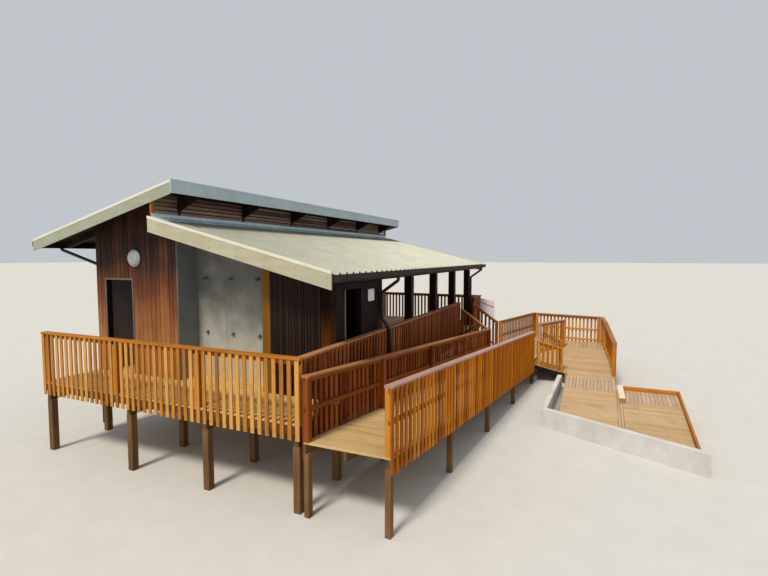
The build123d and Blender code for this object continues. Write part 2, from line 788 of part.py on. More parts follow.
def foot_on(plane, x0, head, fall, side):
    """A foot from the ground to a sloping beam, added to the part being made."""
    x1 = x0 + ramp_foot
    plate_on(plane, [(x0, 0), (x1, 0), (x1, head - fall * x1), (x0, head - fall * x0)],
             0, side * ramp_foot)


with BuildPart() as ramp_feet:
    for start, side in ((ramp_left_start, 1), (ramp_right_start, -1)):
        plane = run_plane(start, (start[0] + ramp_shift, stair_near))
        for i in range(ramp_spaces + 1):
            foot_on(plane, i * foot_step, beam_start - stringer_depth, ramp_fall, side)
    for start, end, side in second_edges:
        length = hypot(end[0] - start[0], end[1] - start[1])
        fall = (landing_level - second_ramp_foot) / length
        for x0 in (length / 2, length - ramp_foot - ramp_trim):
            foot_on(run_plane(start, end), x0, frame_foot - slope_gap, fall, side)
    with BuildSketch(Plane.XY):
        with Locations(*foot_places):
            Rectangle(ramp_foot, ramp_foot)
    extrude(amount=frame_foot)
save(ramp_feet.part, "ramp_feet")

flat = (landing_level, landing_level)
with BuildPart() as landing_balustrades:
    add(fence(point_along(landing_stair, landing_far_left, corner), landing_far_left, *flat,
              rail_height, pickets_right=False))
    add(fence(point_along(landing_far_left, landing_far_right, corner),
              point_along(landing_far_right, landing_far_left, corner), *flat, rail_height,
              pickets_right=False, foot_rail=True))
save(landing_balustrades.part, "landing_balustrades")

divider_plane = run_plane(divider_near, divider_far)
divider_length = hypot(divider_far[0] - divider_near[0], divider_far[1] - divider_near[1])
with BuildPart() as divider_balustrade:
    add(fence(divider_near, divider_far, *flat, rail_height, drop=0, mid_rail=False,
              foot_rail=True))
    plate_on(divider_plane, [(rail_post, landing_level + brace_rise),
                             (rail_post, landing_level + brace_rise - brace_width),
                             (divider_length - rail_post, landing_level + rail_lift),
                             (divider_length - rail_post, landing_level + rail_lift + brace_width)],
             picket_thickness, 2 * picket_thickness)
save(divider_balustrade.part, "divider_balustrade")

# Wedge between the landing and the foot of the second ramp, closed on its near side
wedge_foot = (*second_ramp_foot_left, second_ramp_foot)
wedge_head = (*divider_near, landing_level)
wedge_near = [ramp_right_end, second_ramp_foot_left, divider_near]
wedge_far = [divider_near, second_ramp_foot_left, divider_far]
second_corners = [divider_far, second_ramp_top_right, second_ramp_foot_right,
                  second_ramp_foot_left]
second_points = [(*divider_far, landing_level), (*second_ramp_foot_left, second_ramp_foot),
                 (*second_ramp_foot_right, second_ramp_foot)]
with BuildPart() as second_ramp_floor:
    add(cut_between(wedge_near, board, [(*ramp_right_end, landing_level), wedge_foot, wedge_head]))
    add(cut_between(wedge_far, board, [(*divider_far, landing_level), wedge_foot, wedge_head]))
    add(cut_between(second_corners, board, second_points))
save(second_ramp_floor.part, "second_ramp_floor")

wedge_start = point_along(ramp_right_end, second_ramp_foot_left, corner)
wedge_length = hypot(second_ramp_foot_left[0] - ramp_right_end[0],
                     second_ramp_foot_left[1] - ramp_right_end[1])
wedge_start_level = landing_level - (landing_level - second_ramp_foot) * corner / wedge_length
wedge_turn = (second_ramp_foot_left[1] - ramp_right_end[1]) / wedge_length
wedge_fall = (landing_level - second_ramp_foot) / (second_ramp_foot_left[0] - ramp_right_end[0])
wedge_lift = rail_post * wedge_turn * wedge_fall + 2 * slope_gap
with BuildPart() as wedge_balustrade:
    add(fence(wedge_start, second_ramp_foot_left, wedge_start_level, second_ramp_foot,
              wedge_rail_height, drop=board, mid_rail=False, foot_rail=True,
              lift=wedge_lift))
    plate_on(run_plane(ramp_right_end, second_ramp_foot_left),
             [(wedge_length - rail_post, second_ramp_foot + wedge_rail_height / 2),
              (wedge_length, second_ramp_foot + wedge_rail_height / 2),
              (wedge_length, second_ramp_foot + rail_height),
              (wedge_length - rail_post, second_ramp_foot + rail_height)], 0, -rail_post)
save(wedge_balustrade.part, "wedge_balustrade")

second_levels = (landing_level, second_ramp_foot)
with BuildPart() as second_ramp_balustrade:
    add(fence(landing_far_right, second_ramp_top_right, *flat, rail_height, pickets_right=False,
              mid_rail=False, foot_rail=True))
    add(fence(second_ramp_top_right, second_ramp_foot_right, *second_levels, rail_height,
              pickets_right=False, mid_rail=False, foot_rail=True))
save(second_ramp_balustrade.part, "second_ramp_balustrade")

# Lower walk: two boarded floors on ground bearers inside the kerb
side_start = (kerb_start[0] + kerb_width, kerb_start[1])
side_line = Vector(kerb_corner[0] - kerb_start[0], kerb_corner[1] - kerb_start[1])
front_line = Vector(kerb_end[0] - kerb_corner[0], kerb_end[1] - kerb_corner[1])
front_turn = front_line.Y / front_line.X
side_turn = side_line.X / side_line.Y


def kerb_front_y(x, inset):
    """Y of the kerb's front line above x, moved inwards by inset."""
    return kerb_corner[1] + (x - kerb_corner[0]) * front_turn + inset * hypot(1, front_turn)


def kerb_side_x(y, inset):
    """X of the kerb's side line at y, moved inwards by inset."""
    return kerb_corner[0] + (y - kerb_corner[1]) * side_turn + inset


def meets_kerb(start, lean):
    """Plan point where an edge that comes from start, leaning by lean, reaches the kerb."""
    turn = tan(radians(lean))
    foot_x = start[0] - (start[1] - kerb_corner[1]) * turn
    rise = (foot_x - kerb_corner[0]) * front_turn + kerb_width * hypot(1, front_turn)
    near_y = kerb_corner[1] + rise / (1 - turn * front_turn)
    return (foot_x + (near_y - kerb_corner[1]) * turn, near_y)


def walk_level(y):
    """Height of the lower walk's top face at y."""
    slope = (second_ramp_foot - walk_foot_level) / (walk_far - walk_front)
    return walk_foot_level + slope * (y - walk_front)


def walk_board(start, lean, high, width):
    """An upright board from the kerb to start, its top edge high above the walk's top face."""
    near = meets_kerb(start, lean)
    length = hypot(start[0] - near[0], start[1] - near[1])
    plate_on(run_plane(near, start),
             [(0, 0), (length, 0), (length, walk_level(start[1]) + high),
              (0, walk_level(near[1]) + high)], 0, width)


inner_y = kerb_front_y(kerb_corner[0] + kerb_width, kerb_width)
inner_corner = (kerb_side_x(inner_y, kerb_width), kerb_front_y(kerb_side_x(inner_y, kerb_width),
                                                               kerb_width))
channel_far = (walk_left - edge_gap, kerb_start[1])
with BuildPart() as concrete_kerb:
    with BuildSketch(Plane.XY):
        Polygon(kerb_start, side_start, inner_corner,
                (kerb_end[0], kerb_front_y(kerb_end[0], kerb_width)), kerb_end, kerb_corner,
                align=None)
    extrude(amount=kerb_height)
    with BuildSketch(Plane.XY):
        Polygon(side_start, channel_far, meets_kerb(channel_far, 0), inner_corner, align=None)
    extrude(amount=channel_level)
save(concrete_kerb.part, "concrete_kerb")

walk_far_left = (walk_left, walk_far)
side_far_left = (side_walk_left, side_walk_far)
side_far_right = (side_walk_right, side_walk_far)
walk_corners = [walk_far_left, second_ramp_foot_right,
                meets_kerb(second_ramp_foot_right, walk_lean), meets_kerb(walk_far_left, 0)]
side_corners = [side_far_left, side_far_right, meets_kerb(side_far_right, side_walk_lean),
                meets_kerb(side_far_left, walk_lean)]
walk_points = [(0, walk_far, second_ramp_foot), (walk_left, walk_far, second_ramp_foot),
               (0, walk_front, walk_foot_level)]
with BuildPart() as lower_walk_floors:
    add(cut_between(walk_corners, board, walk_points))
    add(cut_between(side_corners, board, walk_points))
save(lower_walk_floors.part, "lower_walk_floors")

bearer_far = walk_far - ramp_trim
bearer_rise = -board - slope_gap
with BuildPart() as walk_bearers:
    walk_board((walk_left, bearer_far), 0, bearer_rise, bearer_width)
    walk_board((second_ramp_foot_right[0] - bearer_width, bearer_far), walk_lean,
               bearer_rise, bearer_width)
    walk_board((edge_x + edge_gap, side_walk_far), walk_lean, bearer_rise, bearer_width)
    walk_board(side_far_left, walk_lean, bearer_rise, bearer_width)
    walk_board((side_walk_right - bearer_width - edge_gap, side_walk_far), side_walk_lean,
               bearer_rise, bearer_width)
save(walk_bearers.part, "walk_bearers")

with BuildPart() as side_walk_upstands:
    block(second_ramp_foot_left[0] + walk_beam_at[0] + walk_beam_width + edge_gap,
          side_walk_right + upstand_width, side_walk_far, side_walk_far + upstand_width,
          0, walk_level(side_walk_far) + upstand_height)
    walk_board(side_far_right, side_walk_lean, upstand_height, upstand_width)
save(side_walk_upstands.part, "side_walk_upstands")

# Two edge boards between the walks, a loose beam lying on them and a short stub by the kerb
beam_start = moved(second_ramp_foot_left, walk_beam_at)
beam_end = moved(beam_start, (0, walk_beam_length))
stub_y = walk_far - stub_setback
with BuildPart() as walk_edge_timbers:
    for i in range(2):
        strip_x = edge_x + edge_gap + i * (edge_width + edge_gap)
        strip_far = [(strip_x, side_walk_far), (strip_x + edge_width, side_walk_far)]
        strip_near = [meets_kerb(strip_far[1], walk_lean), meets_kerb(strip_far[0], walk_lean)]
        add(cut_between(strip_far + strip_near, board, walk_points))
    plate_on(run_plane(beam_start, beam_end),
             [(0, walk_level(beam_start[1]) + slope_gap),
              (walk_beam_length, walk_level(beam_end[1]) + slope_gap),
              (walk_beam_length, walk_level(beam_end[1]) + walk_beam_height),
              (0, walk_level(beam_start[1]) + walk_beam_height)], 0, walk_beam_width)
    block(walk_left - stub_width, walk_left, stub_y, stub_y + stub_width,
          0, walk_level(stub_y) + stub_height)
save(walk_edge_timbers.part, "walk_edge_timbers")

# Fittings: round light, showers, notice plate and the sign on the stair's far balustrade
light_plane = Plane(origin=(left_face + light_offset, frame_near, deck_level + light_height),
                    z_dir=(0, -1, 0))
with BuildPart() as round_light:
    with BuildSketch(light_plane):
        Circle(light_radius)
    extrude(amount=light_depth)
    fillet(round_light.faces().sort_by(Axis.Y)[0].edges(), radius=light_depth / 3)
save(round_light.part, "round_light")

shower_face = shower_back_y - panel
shower_columns = [main_wall_x + shower_first + i * shower_pitch for i in range(3)]
with BuildPart() as shower_fittings:
    for x in shower_columns:
        arm = Plane(origin=(x, shower_face, deck_level + shower_head_height), z_dir=(0, -1, 0))
        with BuildSketch(arm):
            Circle(shower_arm)
        extrude(amount=shower_reach)
        rose = Plane.XY.offset(deck_level + shower_head_height - shower_head_depth)
        with BuildSketch(rose):
            with Locations((x, shower_face - shower_reach)):
                Circle(shower_head)
        extrude(amount=shower_head_depth)
        valve = Plane(origin=(x, shower_face, deck_level + shower_valve_height), z_dir=(0, -1, 0))
        with BuildSketch(valve):
            Circle(shower_valve)
        extrude(amount=shower_valve_depth)
save(shower_fittings.part, "shower_fittings")

with BuildPart() as notice_plate:
    notice_y = side_door_y1 + notice_offset
    block(right_face, right_face + notice_thickness, notice_y, notice_y + notice_width,
          deck_level + notice_foot, deck_level + notice_foot + notice_height)
save(notice_plate.part, "notice_plate")

sign_x1 = sign_offset + sign_width
sign_lower = [landing_level + rail_height + (stair_run - x) * riser / going - sign_lap
              for x in (sign_offset, sign_x1)]
with BuildPart() as sign_board:
    along_ridge([(sign_offset, sign_lower[0]), (sign_x1, sign_lower[1]),
                 (sign_x1, deck_level + sign_top - sign_fall),
                 (sign_offset, deck_level + sign_top)],
                stair_far + edge_cap, stair_far + edge_cap + sign_thickness)
save(sign_board.part, "sign_board")
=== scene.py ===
# %% [markdown]
# Beach lifeguard cabin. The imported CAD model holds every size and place; this script gives each
# piece its boards, folds, screws and finish. It loads the frame first, because every new piece is
# set out from the boxes of the CAD nodes it stands for.

# %% Load the frame
import bpy
import numpy as np
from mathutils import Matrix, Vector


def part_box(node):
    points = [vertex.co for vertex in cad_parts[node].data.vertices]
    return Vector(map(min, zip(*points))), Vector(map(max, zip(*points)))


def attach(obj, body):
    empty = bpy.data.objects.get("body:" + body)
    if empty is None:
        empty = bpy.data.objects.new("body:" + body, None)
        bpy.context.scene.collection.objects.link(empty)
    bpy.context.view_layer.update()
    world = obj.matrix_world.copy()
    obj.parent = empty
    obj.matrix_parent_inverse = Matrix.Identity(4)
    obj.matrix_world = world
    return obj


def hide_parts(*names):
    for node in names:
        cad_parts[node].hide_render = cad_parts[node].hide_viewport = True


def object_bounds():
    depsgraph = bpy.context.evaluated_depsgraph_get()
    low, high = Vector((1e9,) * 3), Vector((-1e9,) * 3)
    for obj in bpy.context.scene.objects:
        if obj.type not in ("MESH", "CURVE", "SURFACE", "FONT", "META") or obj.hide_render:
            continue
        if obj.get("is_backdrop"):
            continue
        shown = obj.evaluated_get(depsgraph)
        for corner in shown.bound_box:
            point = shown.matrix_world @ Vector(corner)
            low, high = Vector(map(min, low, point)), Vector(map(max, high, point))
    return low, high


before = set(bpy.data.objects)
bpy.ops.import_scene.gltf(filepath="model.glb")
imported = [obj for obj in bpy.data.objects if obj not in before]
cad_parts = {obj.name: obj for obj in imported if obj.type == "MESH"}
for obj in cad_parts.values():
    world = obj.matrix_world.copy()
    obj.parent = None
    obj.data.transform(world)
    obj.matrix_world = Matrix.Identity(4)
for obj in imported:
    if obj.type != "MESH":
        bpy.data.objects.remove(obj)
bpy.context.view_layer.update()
chance = np.random.default_rng(21)

# %% [markdown]
# The cabin was drawn from the near right corner of its deck, so this script counts from there
# too. Each node's box is read once and shifted to that corner, which keeps every place below a
# plain distance along X (across the cabin), Y (along the ridge) and Z (up).

# %% Boxes of the nodes, counted from the deck's near right corner
deck_corner = np.array([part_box("deck_floor")[1].x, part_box("deck_floor")[0].y, 0.0])
X, Y, Z = np.eye(3)


def spot(node):
    """Lowest and highest corner of a node's box, less the deck's near right corner."""
    return np.array(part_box(node)) - deck_corner


deck_low, deck_high = spot("deck_floor")
posts_low, posts_high = spot("frame_posts")
sheet_low, sheet_high = spot("lower_roof_sheet")
upper_low, upper_high = spot("upper_roof_sheet")
deck_level = deck_high[2]
print("deck", deck_high - deck_low, "posts from", posts_low, "to", posts_high)

# %% [markdown]
# Most of a timber building is one section carried along a line, and so are pipes, gutters and
# turned fittings. One function therefore makes a closed skin over rings of points. The whole
# stack of boards is one array, so four hundred pickets cost no more code than one. The skin
# also gets grain coordinates, in metres along and round the piece, and a random tone for each
# board, which the wood finishes read.

# %% A skin over rings of points
grain_spread = 9.0


def skin(rings, finish=0, smooth=False, paired=False):
    """Closed shapes from an array (shape, ring, point, 3).

    Each ring is joined to the next by four-cornered faces, and the first and last ring are
    closed: by one face, or, if paired, by faces between point j and point last - j. The grain
    coordinates are the distance walked from ring to ring and the distance walked round, moved
    by a random step for each shape, so that no two boards show the same stretch of grain."""
    rings = np.asarray(rings, float)
    count, steps, corners = rings.shape[:3]
    number = np.arange(count * steps * corners).reshape(count, steps, corners)
    after = np.roll(number, -1, axis=2)
    walls = np.stack([number[:, :-1], after[:, :-1], after[:, 1:], number[:, 1:]], axis=-1)
    walked = np.zeros((count, steps))
    walked[:, 1:] = np.cumsum(np.linalg.norm(np.diff(rings, axis=1), axis=3).mean(axis=2), axis=1)
    edges = np.linalg.norm(np.roll(rings[:, 0], -1, axis=1) - rings[:, 0], axis=2)
    girth = np.concatenate([np.zeros((count, 1)), np.cumsum(edges, axis=1)], axis=1)
    shift = chance.uniform(0, grain_spread, (count, 2))
    size = (count, steps - 1, corners)
    low, high = (np.broadcast_to(w[:, :, None], size) for w in (walked[:, :-1], walked[:, 1:]))
    left, right = (np.broadcast_to(g[:, None], size) for g in (girth[:, :-1], girth[:, 1:]))
    grain = np.stack([np.stack([low, left], -1), np.stack([low, right], -1),
                      np.stack([high, right], -1), np.stack([high, left], -1)], axis=-2)
    grain = grain + shift[:, None, None, None]
    tone = chance.uniform(0, 1, count)
    blocks = [(walls.reshape(-1, 4), grain.reshape(-1, 4, 2),
               np.repeat(tone, (steps - 1) * corners))]
    for ring, place, turned in ((number[:, 0], rings[:, 0], True),
                                (number[:, -1], rings[:, -1], False)):
        away = place - place[:, :1]
        first = away[:, 1:2] / np.maximum(np.linalg.norm(away[:, 1:2], axis=2, keepdims=True), 1e-9)
        along = (away * first).sum(axis=2)
        beside = np.linalg.norm(away - along[..., None] * first, axis=2)
        flat = np.stack([beside, along], axis=-1) + shift[:, None]
        if paired:
            j = np.arange(corners // 2 - 1)
            pick = np.stack([j, j + 1, corners - 2 - j, corners - 1 - j], axis=1)
        else:
            pick = np.arange(corners)[None]
        pick = pick[:, ::-1] if turned else pick
        blocks.append((ring[:, pick].reshape(-1, pick.shape[1]),
                       flat[:, pick].reshape(-1, pick.shape[1], 2), np.repeat(tone, len(pick))))
    return {"points": rings.reshape(-1, 3), "blocks": blocks, "finish": finish, "smooth": smooth}


# %% [markdown]
# Boards, pickets, rails and posts are straight, and most of them are alike. A cube scaled for
# each would do for the square ones, but most ends here are cut to a slope. So one section is
# placed at both ends of every bar at once, and the directions it is drawn in may lean.

# %% Straight bars, many at once
def bars(starts, ends, side, up, outline, end_side=None, **look):
    """Bars of one section: at either end, point = end + side * u + up * v for each (u, v) of
    the outline. side and up need not be square to the bar, which cuts its ends to a slope."""
    starts, ends, side, up = (np.atleast_2d(np.asarray(a, float)) for a in (starts, ends, side, up))
    end_side = side if end_side is None else np.atleast_2d(end_side)
    outline = np.asarray(outline, float)
    u, v = outline.T
    area = (u * np.roll(v, -1) - v * np.roll(u, -1)).sum()
    frame_turn = np.linalg.det(np.stack([ends[0] - starts[0], side[0], up[0]]))
    if area * frame_turn < 0:
        outline = outline[::-1]
    u, v = outline[None, :, :1], outline[None, :, 1:]
    first = starts[:, None] + side[:, None] * u + up[:, None] * v
    last = ends[:, None] + end_side[:, None] * u + up[:, None] * v
    first, last = np.broadcast_arrays(first, last)
    return skin(np.stack([first, last], axis=1), **look)


def eased(width, depth, ease=0.003, at=(0, 0)):
    """A rectangle of width by depth from the point at, its corners cut at 45 degrees: timber is
    eased like this so that it doesn't splinter, and the cut edge catches the light."""
    e, w, d = ease, width, depth
    corners = [(e, 0), (w - e, 0), (w, e), (w, d - e), (w - e, d), (e, d), (0, d - e), (0, e)]
    return np.array(corners) + at


def along_ridge(outline, y0, y1, **look):
    """An outline drawn in X and Z, carried along Y."""
    return bars(y0 * Y, y1 * Y, X, Z, outline, **look)


def spans(marks):
    """Each mark with the next one: the lengths between joints."""
    return list(zip(marks[:-1], marks[1:]))


# %% [markdown]
# Screws, collars, the round light and the showers are turned. Blender's Spin makes one such shape
# at a time; here each point of a profile becomes a ring, for any number of copies in one array.

# %% Turned shapes
def turned(profile, centres, axis, sides=12, **look):
    """Turned shapes: each (radius, height) of the profile is a ring of points round the axis."""
    axis = np.array(axis, float)
    first = np.cross(axis, X if abs(axis[0]) < 0.9 else Y)
    first = first / np.linalg.norm(first)
    second = np.cross(axis, first)
    angle = 2 * np.pi * np.arange(sides) / sides
    spoke = np.cos(angle)[:, None] * first + np.sin(angle)[:, None] * second
    radius, height = np.array(profile, float).T
    rings = radius[:, None, None] * spoke + height[:, None, None] * axis
    return skin(np.atleast_2d(centres)[:, None, None] + rings, **look)


# %% [markdown]
# All shapes of a piece are laid end to end in long arrays and handed to one mesh. Joining four
# hundred separate objects would give the same mesh, but far more slowly. The mesh is moved to the
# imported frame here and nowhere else, so a piece can't end up beside its node.

# %% One mesh from many shapes
def make_piece(name, shapes, finishes, stands_for=()):
    """Joins shapes to one mesh object that rides on the root body."""
    points = np.concatenate([s["points"] for s in shapes]) + deck_corner
    firsts = np.cumsum([0] + [len(s["points"]) for s in shapes])
    rows = [(faces + first, grain, tone, s["finish"], s["smooth"])
            for s, first in zip(shapes, firsts) for faces, grain, tone in s["blocks"]]
    sizes = np.concatenate([np.full(len(faces), faces.shape[1]) for faces, *_ in rows])
    corners = np.concatenate([faces.ravel() for faces, *_ in rows])
    mesh = bpy.data.meshes.new(name)
    mesh.vertices.add(len(points))
    mesh.vertices.foreach_set("co", points.ravel())
    mesh.loops.add(len(corners))
    mesh.loops.foreach_set("vertex_index", corners.astype(np.int32))
    mesh.polygons.add(len(sizes))
    mesh.polygons.foreach_set("loop_start", (np.cumsum(sizes) - sizes).astype(np.int32))
    finish = np.concatenate([np.full(len(r[0]), r[3]) for r in rows])
    mesh.polygons.foreach_set("material_index", finish.astype(np.int32))
    mesh.polygons.foreach_set("use_smooth", np.concatenate([np.full(len(r[0]), r[4]) for r in rows]))
    layer = mesh.uv_layers.new(name="grain")
    layer.uv.foreach_set("vector", np.concatenate([r[1].reshape(-1) for r in rows]))
    tones = mesh.attributes.new("tone", "FLOAT", "CORNER")
    tones.data.foreach_set("value", np.repeat(np.concatenate([r[2] for r in rows]), sizes))
    mesh.update(calc_edges=True)
    for made in finishes:
        mesh.materials.append(made)
    piece = bpy.data.objects.new(name, mesh)
    bpy.context.scene.collection.objects.link(piece)
    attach(piece, "root")
    if stands_for:
        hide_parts(*stands_for)
    print(name, len(mesh.polygons), "faces")
    return piece


# %% [markdown]
# Finishes are node trees. They could be drawn by hand in the shader editor; written out, they
# can be shared by forty materials. A small helper keeps each node on one line: it adds a node,
# sets the sockets that are numbers and links the sockets that are other nodes' outputs.

# %% Helpers for finishes
def colour(red, green, blue):
    """A colour as a paint chart gives it (0 to 255), turned into the light that Blender adds up."""
    c = np.array([red, green, blue]) / 255
    linear = np.where(c <= 0.04045, c / 12.92, ((c + 0.055) / 1.055) ** 2.4)
    return (*linear, 1.0)


def put(tree, kind, inputs=(), **settings):
    """Adds a node, sets or links its inputs by name or number, and sets its own options."""
    node = tree.nodes.new("ShaderNode" + kind)
    for key, value in settings.items():
        setattr(node, key, value)
    for key, value in dict(inputs).items():
        if isinstance(value, bpy.types.NodeSocket):
            tree.links.new(value, node.inputs[key])
        else:
            node.inputs[key].default_value = value
    return node


def sums(tree, *terms):
    """The sum of socket * factor over the terms."""
    total = 0.0
    for socket, factor in terms:
        total = put(tree, "Math", {0: socket, 1: factor, 2: total},
                    operation="MULTIPLY_ADD").outputs[0]
    return total


def between(tree, value, low, high, to_low=0.0, to_high=1.0):
    """Maps value from the range low to high onto to_low to to_high."""
    return put(tree, "MapRange", {0: value, 1: low, 2: high, 3: to_low, 4: to_high}).outputs[0]


def ramp(tree, factor, stops):
    """A colour ramp through (place, colour) stops."""
    node = put(tree, "ValToRGB", {0: factor})
    marks = node.color_ramp.elements
    while len(marks) < len(stops):
        marks.new(0.5)
    for mark, (place, tint) in zip(marks, stops):
        mark.position = place
        mark.color = tint
    return node.outputs[0]


def new_finish(name):
    """An empty material with its shader: (material, tree, shader)."""
    made = bpy.data.materials.new(name)
    made.use_nodes = True
    tree = made.node_tree
    shader = tree.nodes["Principled BSDF"]
    return made, tree, shader


def stretched(tree, source, scale):
    """Coordinates multiplied by a scale for each axis."""
    return put(tree, "Mapping", {"Vector": source, "Scale": scale}).outputs[0]


def noise(tree, vector, scale, detail=3.0, rough=0.5):
    """Soft noise in the coordinates given."""
    return put(tree, "TexNoise", {"Vector": vector, "Scale": scale, "Detail": detail,
                                  "Roughness": rough}).outputs[0]


def relief(tree, shader, height, distance):
    """Bump from a height, distance metres deep."""
    bump = put(tree, "Bump", {"Height": height, "Distance": distance, "Strength": 1.0})
    tree.links.new(bump.outputs[0], shader.inputs["Normal"])


def painted_shade_ramp(tree, place, height, reach, amount):
    """A value that falls from amount, low down, to -amount, high up, about a height. Added to a
    tone, it is painted shade: darker high up, under an overhang.
    """
    z = put(tree, "SeparateXYZ", {0: place}).outputs[2]
    return between(tree, z, height - reach, height + reach, amount, -amount)


# %% [markdown]
# Sawn and oiled boards. Long fibres are noise stretched along the board and squeezed across it,
# its finest detail to a tenth of a millimetre; each board's own tone moves it between a deep and
# a pale stop. A picture of wood would repeat over so many boards, and this never does.
# Dirt and sun are a slow noise in object coordinates, so they run on from board to board as they
# do on a real deck. New pieces read their own grain coordinates. CAD nodes have none, so theirs
# come from the object's own axes, squeezed across the way the timber runs.

# %% Wood
fibre_share, figure_share, cloud_share = 0.55, 0.55, 0.3
tone_reach = 0.35
dirt_cover, dirt_colour = 0.25, (40, 30, 22)


def wood(name, deep, middle, pale, rough=0.62, depth=0.0012, run=None, spread=0.45, shine=0.15,
         overhang_shade=None):
    """Oiled or weathered timber. Its tone is a sum of fibre, broad figure, slow cloud and, times
    spread, the board's own tone; the sum's middle is the middle stop. run is the axis number the
    grain follows on a CAD node. overhang_shade is (height, reach, amount): from reach above that
    height to reach below it, the tone rises from less to more by the amount. This is painted
    shade: the boards are painted darker high up, where an overhang shades them."""
    made, tree, shader = new_finish(name)
    place = put(tree, "TexCoord").outputs["Object"]
    if run is None:
        grain = put(tree, "UVMap", uv_map="grain").outputs[0]
        fine = stretched(tree, grain, (2.2, 85.0, 1.0))
        broad = stretched(tree, grain, (0.7, 16.0, 1.0))
        own = put(tree, "Attribute", attribute_name="tone").outputs["Fac"]
    else:
        along = [85.0] * 3
        along[run] = 2.2
        wide = [14.0] * 3
        wide[run] = 0.7
        fine, broad = stretched(tree, place, along), stretched(tree, place, wide)
        own = noise(tree, place, 2.3, 0.0)
    fibre = noise(tree, fine, 1.0, 7.0, 0.62)
    figure = noise(tree, broad, 1.0, 4.0, 0.6)
    cloud = noise(tree, place, 0.9, 4.0, 0.55)
    mix = sums(tree, (fibre, fibre_share), (figure, figure_share), (own, spread),
               (cloud, cloud_share))
    # Painted shade: the tone is lowered high up, where an overhang shades the boards, and raised low
    # down.
    if overhang_shade:
        mix = sums(tree, (mix, 1.0), (painted_shade_ramp(tree, place, *overhang_shade), 1.0))
    middle_sum = (fibre_share + figure_share + spread + cloud_share) / 2
    mix = between(tree, mix, middle_sum - tone_reach, middle_sum + tone_reach)
    body = ramp(tree, mix, [(0.0, colour(*deep)), (0.5, colour(*middle)), (1.0, colour(*pale))])
    patch = between(tree, noise(tree, place, 2.7, 6.0, 0.65), 0.52, 0.75, 0.0, dirt_cover)
    tint = put(tree, "Mix", {0: patch, 6: body, 7: colour(*dirt_colour)}, data_type="RGBA")
    tree.links.new(tint.outputs[2], shader.inputs["Base Color"])
    dull = between(tree, fibre, 0.3, 0.7, rough - 0.1, rough + 0.12)
    tree.links.new(dull, shader.inputs["Roughness"])
    shader.inputs["Specular IOR Level"].default_value = shine
    relief(tree, shader, fibre, depth)
    return made


deck_wood = wood("deck_boards", (158, 126, 81), (197, 166, 115), (217, 190, 146), 0.66, 0.001,
                 spread=0.25)
walk_wood = wood("walk_boards", (162, 127, 88), (188, 158, 118), (203, 179, 142), 0.66, 0.001,
                 spread=0.22)
band_wood = wood("greyer_boards", (158, 130, 100), (186, 160, 132), (202, 180, 156), 0.68, 0.001,
                 spread=0.22)
honey_wood = wood("honey_wood", (146, 86, 20), (190, 126, 46), (216, 160, 84), 0.55)
orange_wood = wood("orange_pickets", (132, 66, 1), (188, 104, 6), (224, 142, 24), 0.55, shine=0.08)
red_wood = wood("red_brown_wood", (85, 37, 10), (135, 69, 22), (182, 103, 40), 0.6)
# The cladding is painted darker high up and paler low down: painted shade of the roof overhang.
wall_wood = wood("wall_cladding", (34, 23, 19), (110, 62, 37), (166, 112, 66), 0.62, spread=0.2,
                 overhang_shade=(3.0, 0.8, 0.3))
dark_wood = wood("dark_cladding", (20, 12, 10), (36, 24, 20), (54, 36, 26), 0.6)
side_wood = wood("side_cladding", (7, 3, 3), (17, 6, 5), (28, 12, 10), 0.6)
post_wood = wood("dark_posts", (22, 13, 8), (36, 22, 14), (54, 34, 20), 0.6)
# The corner posts are painted darker high up and paler low down: painted shade of the eave.
corner_wood = wood("corner_post", (30, 13, 6), (90, 49, 12), (150, 92, 26), 0.6, spread=0.2,
                   shine=0.06, overhang_shade=(2.4, 0.8, 0.4))
amber_wood = wood("amber_posts", (81, 49, 7), (115, 76, 20), (138, 96, 35), 0.55)
weathered_wood = wood("weathered_caps", (113, 71, 45), (151, 100, 67), (191, 139, 100), 0.75)
new_wood = wood("new_caps", (152, 114, 98), (173, 138, 128), (190, 158, 154), 0.7)
pale_wood = wood("pale_beam", (196, 174, 140), (224, 206, 174), (238, 226, 200), 0.7)
louvre_wood = wood("louvre_slats", (81, 60, 54), (132, 106, 94), (177, 149, 134), 0.65)
new_stud_wood = wood("newer_stud", (110, 66, 24), (150, 98, 46), (180, 128, 70), 0.55, run=2)
under_wood = wood("under_deck_timber", (56, 40, 26), (92, 66, 42), (120, 92, 62), 0.75, run=1)
foot_wood = wood("feet_timber", (70, 50, 30), (110, 80, 50), (140, 108, 72), 0.75, run=2)
bracket_wood = wood("bracket_timber", (24, 16, 14), (40, 28, 22), (58, 42, 32), 0.7)
rafter_wood = wood("rafters", (24, 16, 14), (40, 28, 22), (58, 42, 32), 0.7, run=0)
beam_wood = wood("eave_beam_wood", (22, 14, 10), (36, 24, 16), (54, 36, 24), 0.65, run=1)
print("wood finishes ready")

# %% [markdown]
# Folded sheet metal with a baked paint film: smooth, slightly glossy, a little dusty, with long
# faint streaks where rain runs down it. Its relief is only a hint of waviness, because thin
# sheet never lies quite flat. The pickets' screws are painted the same way.

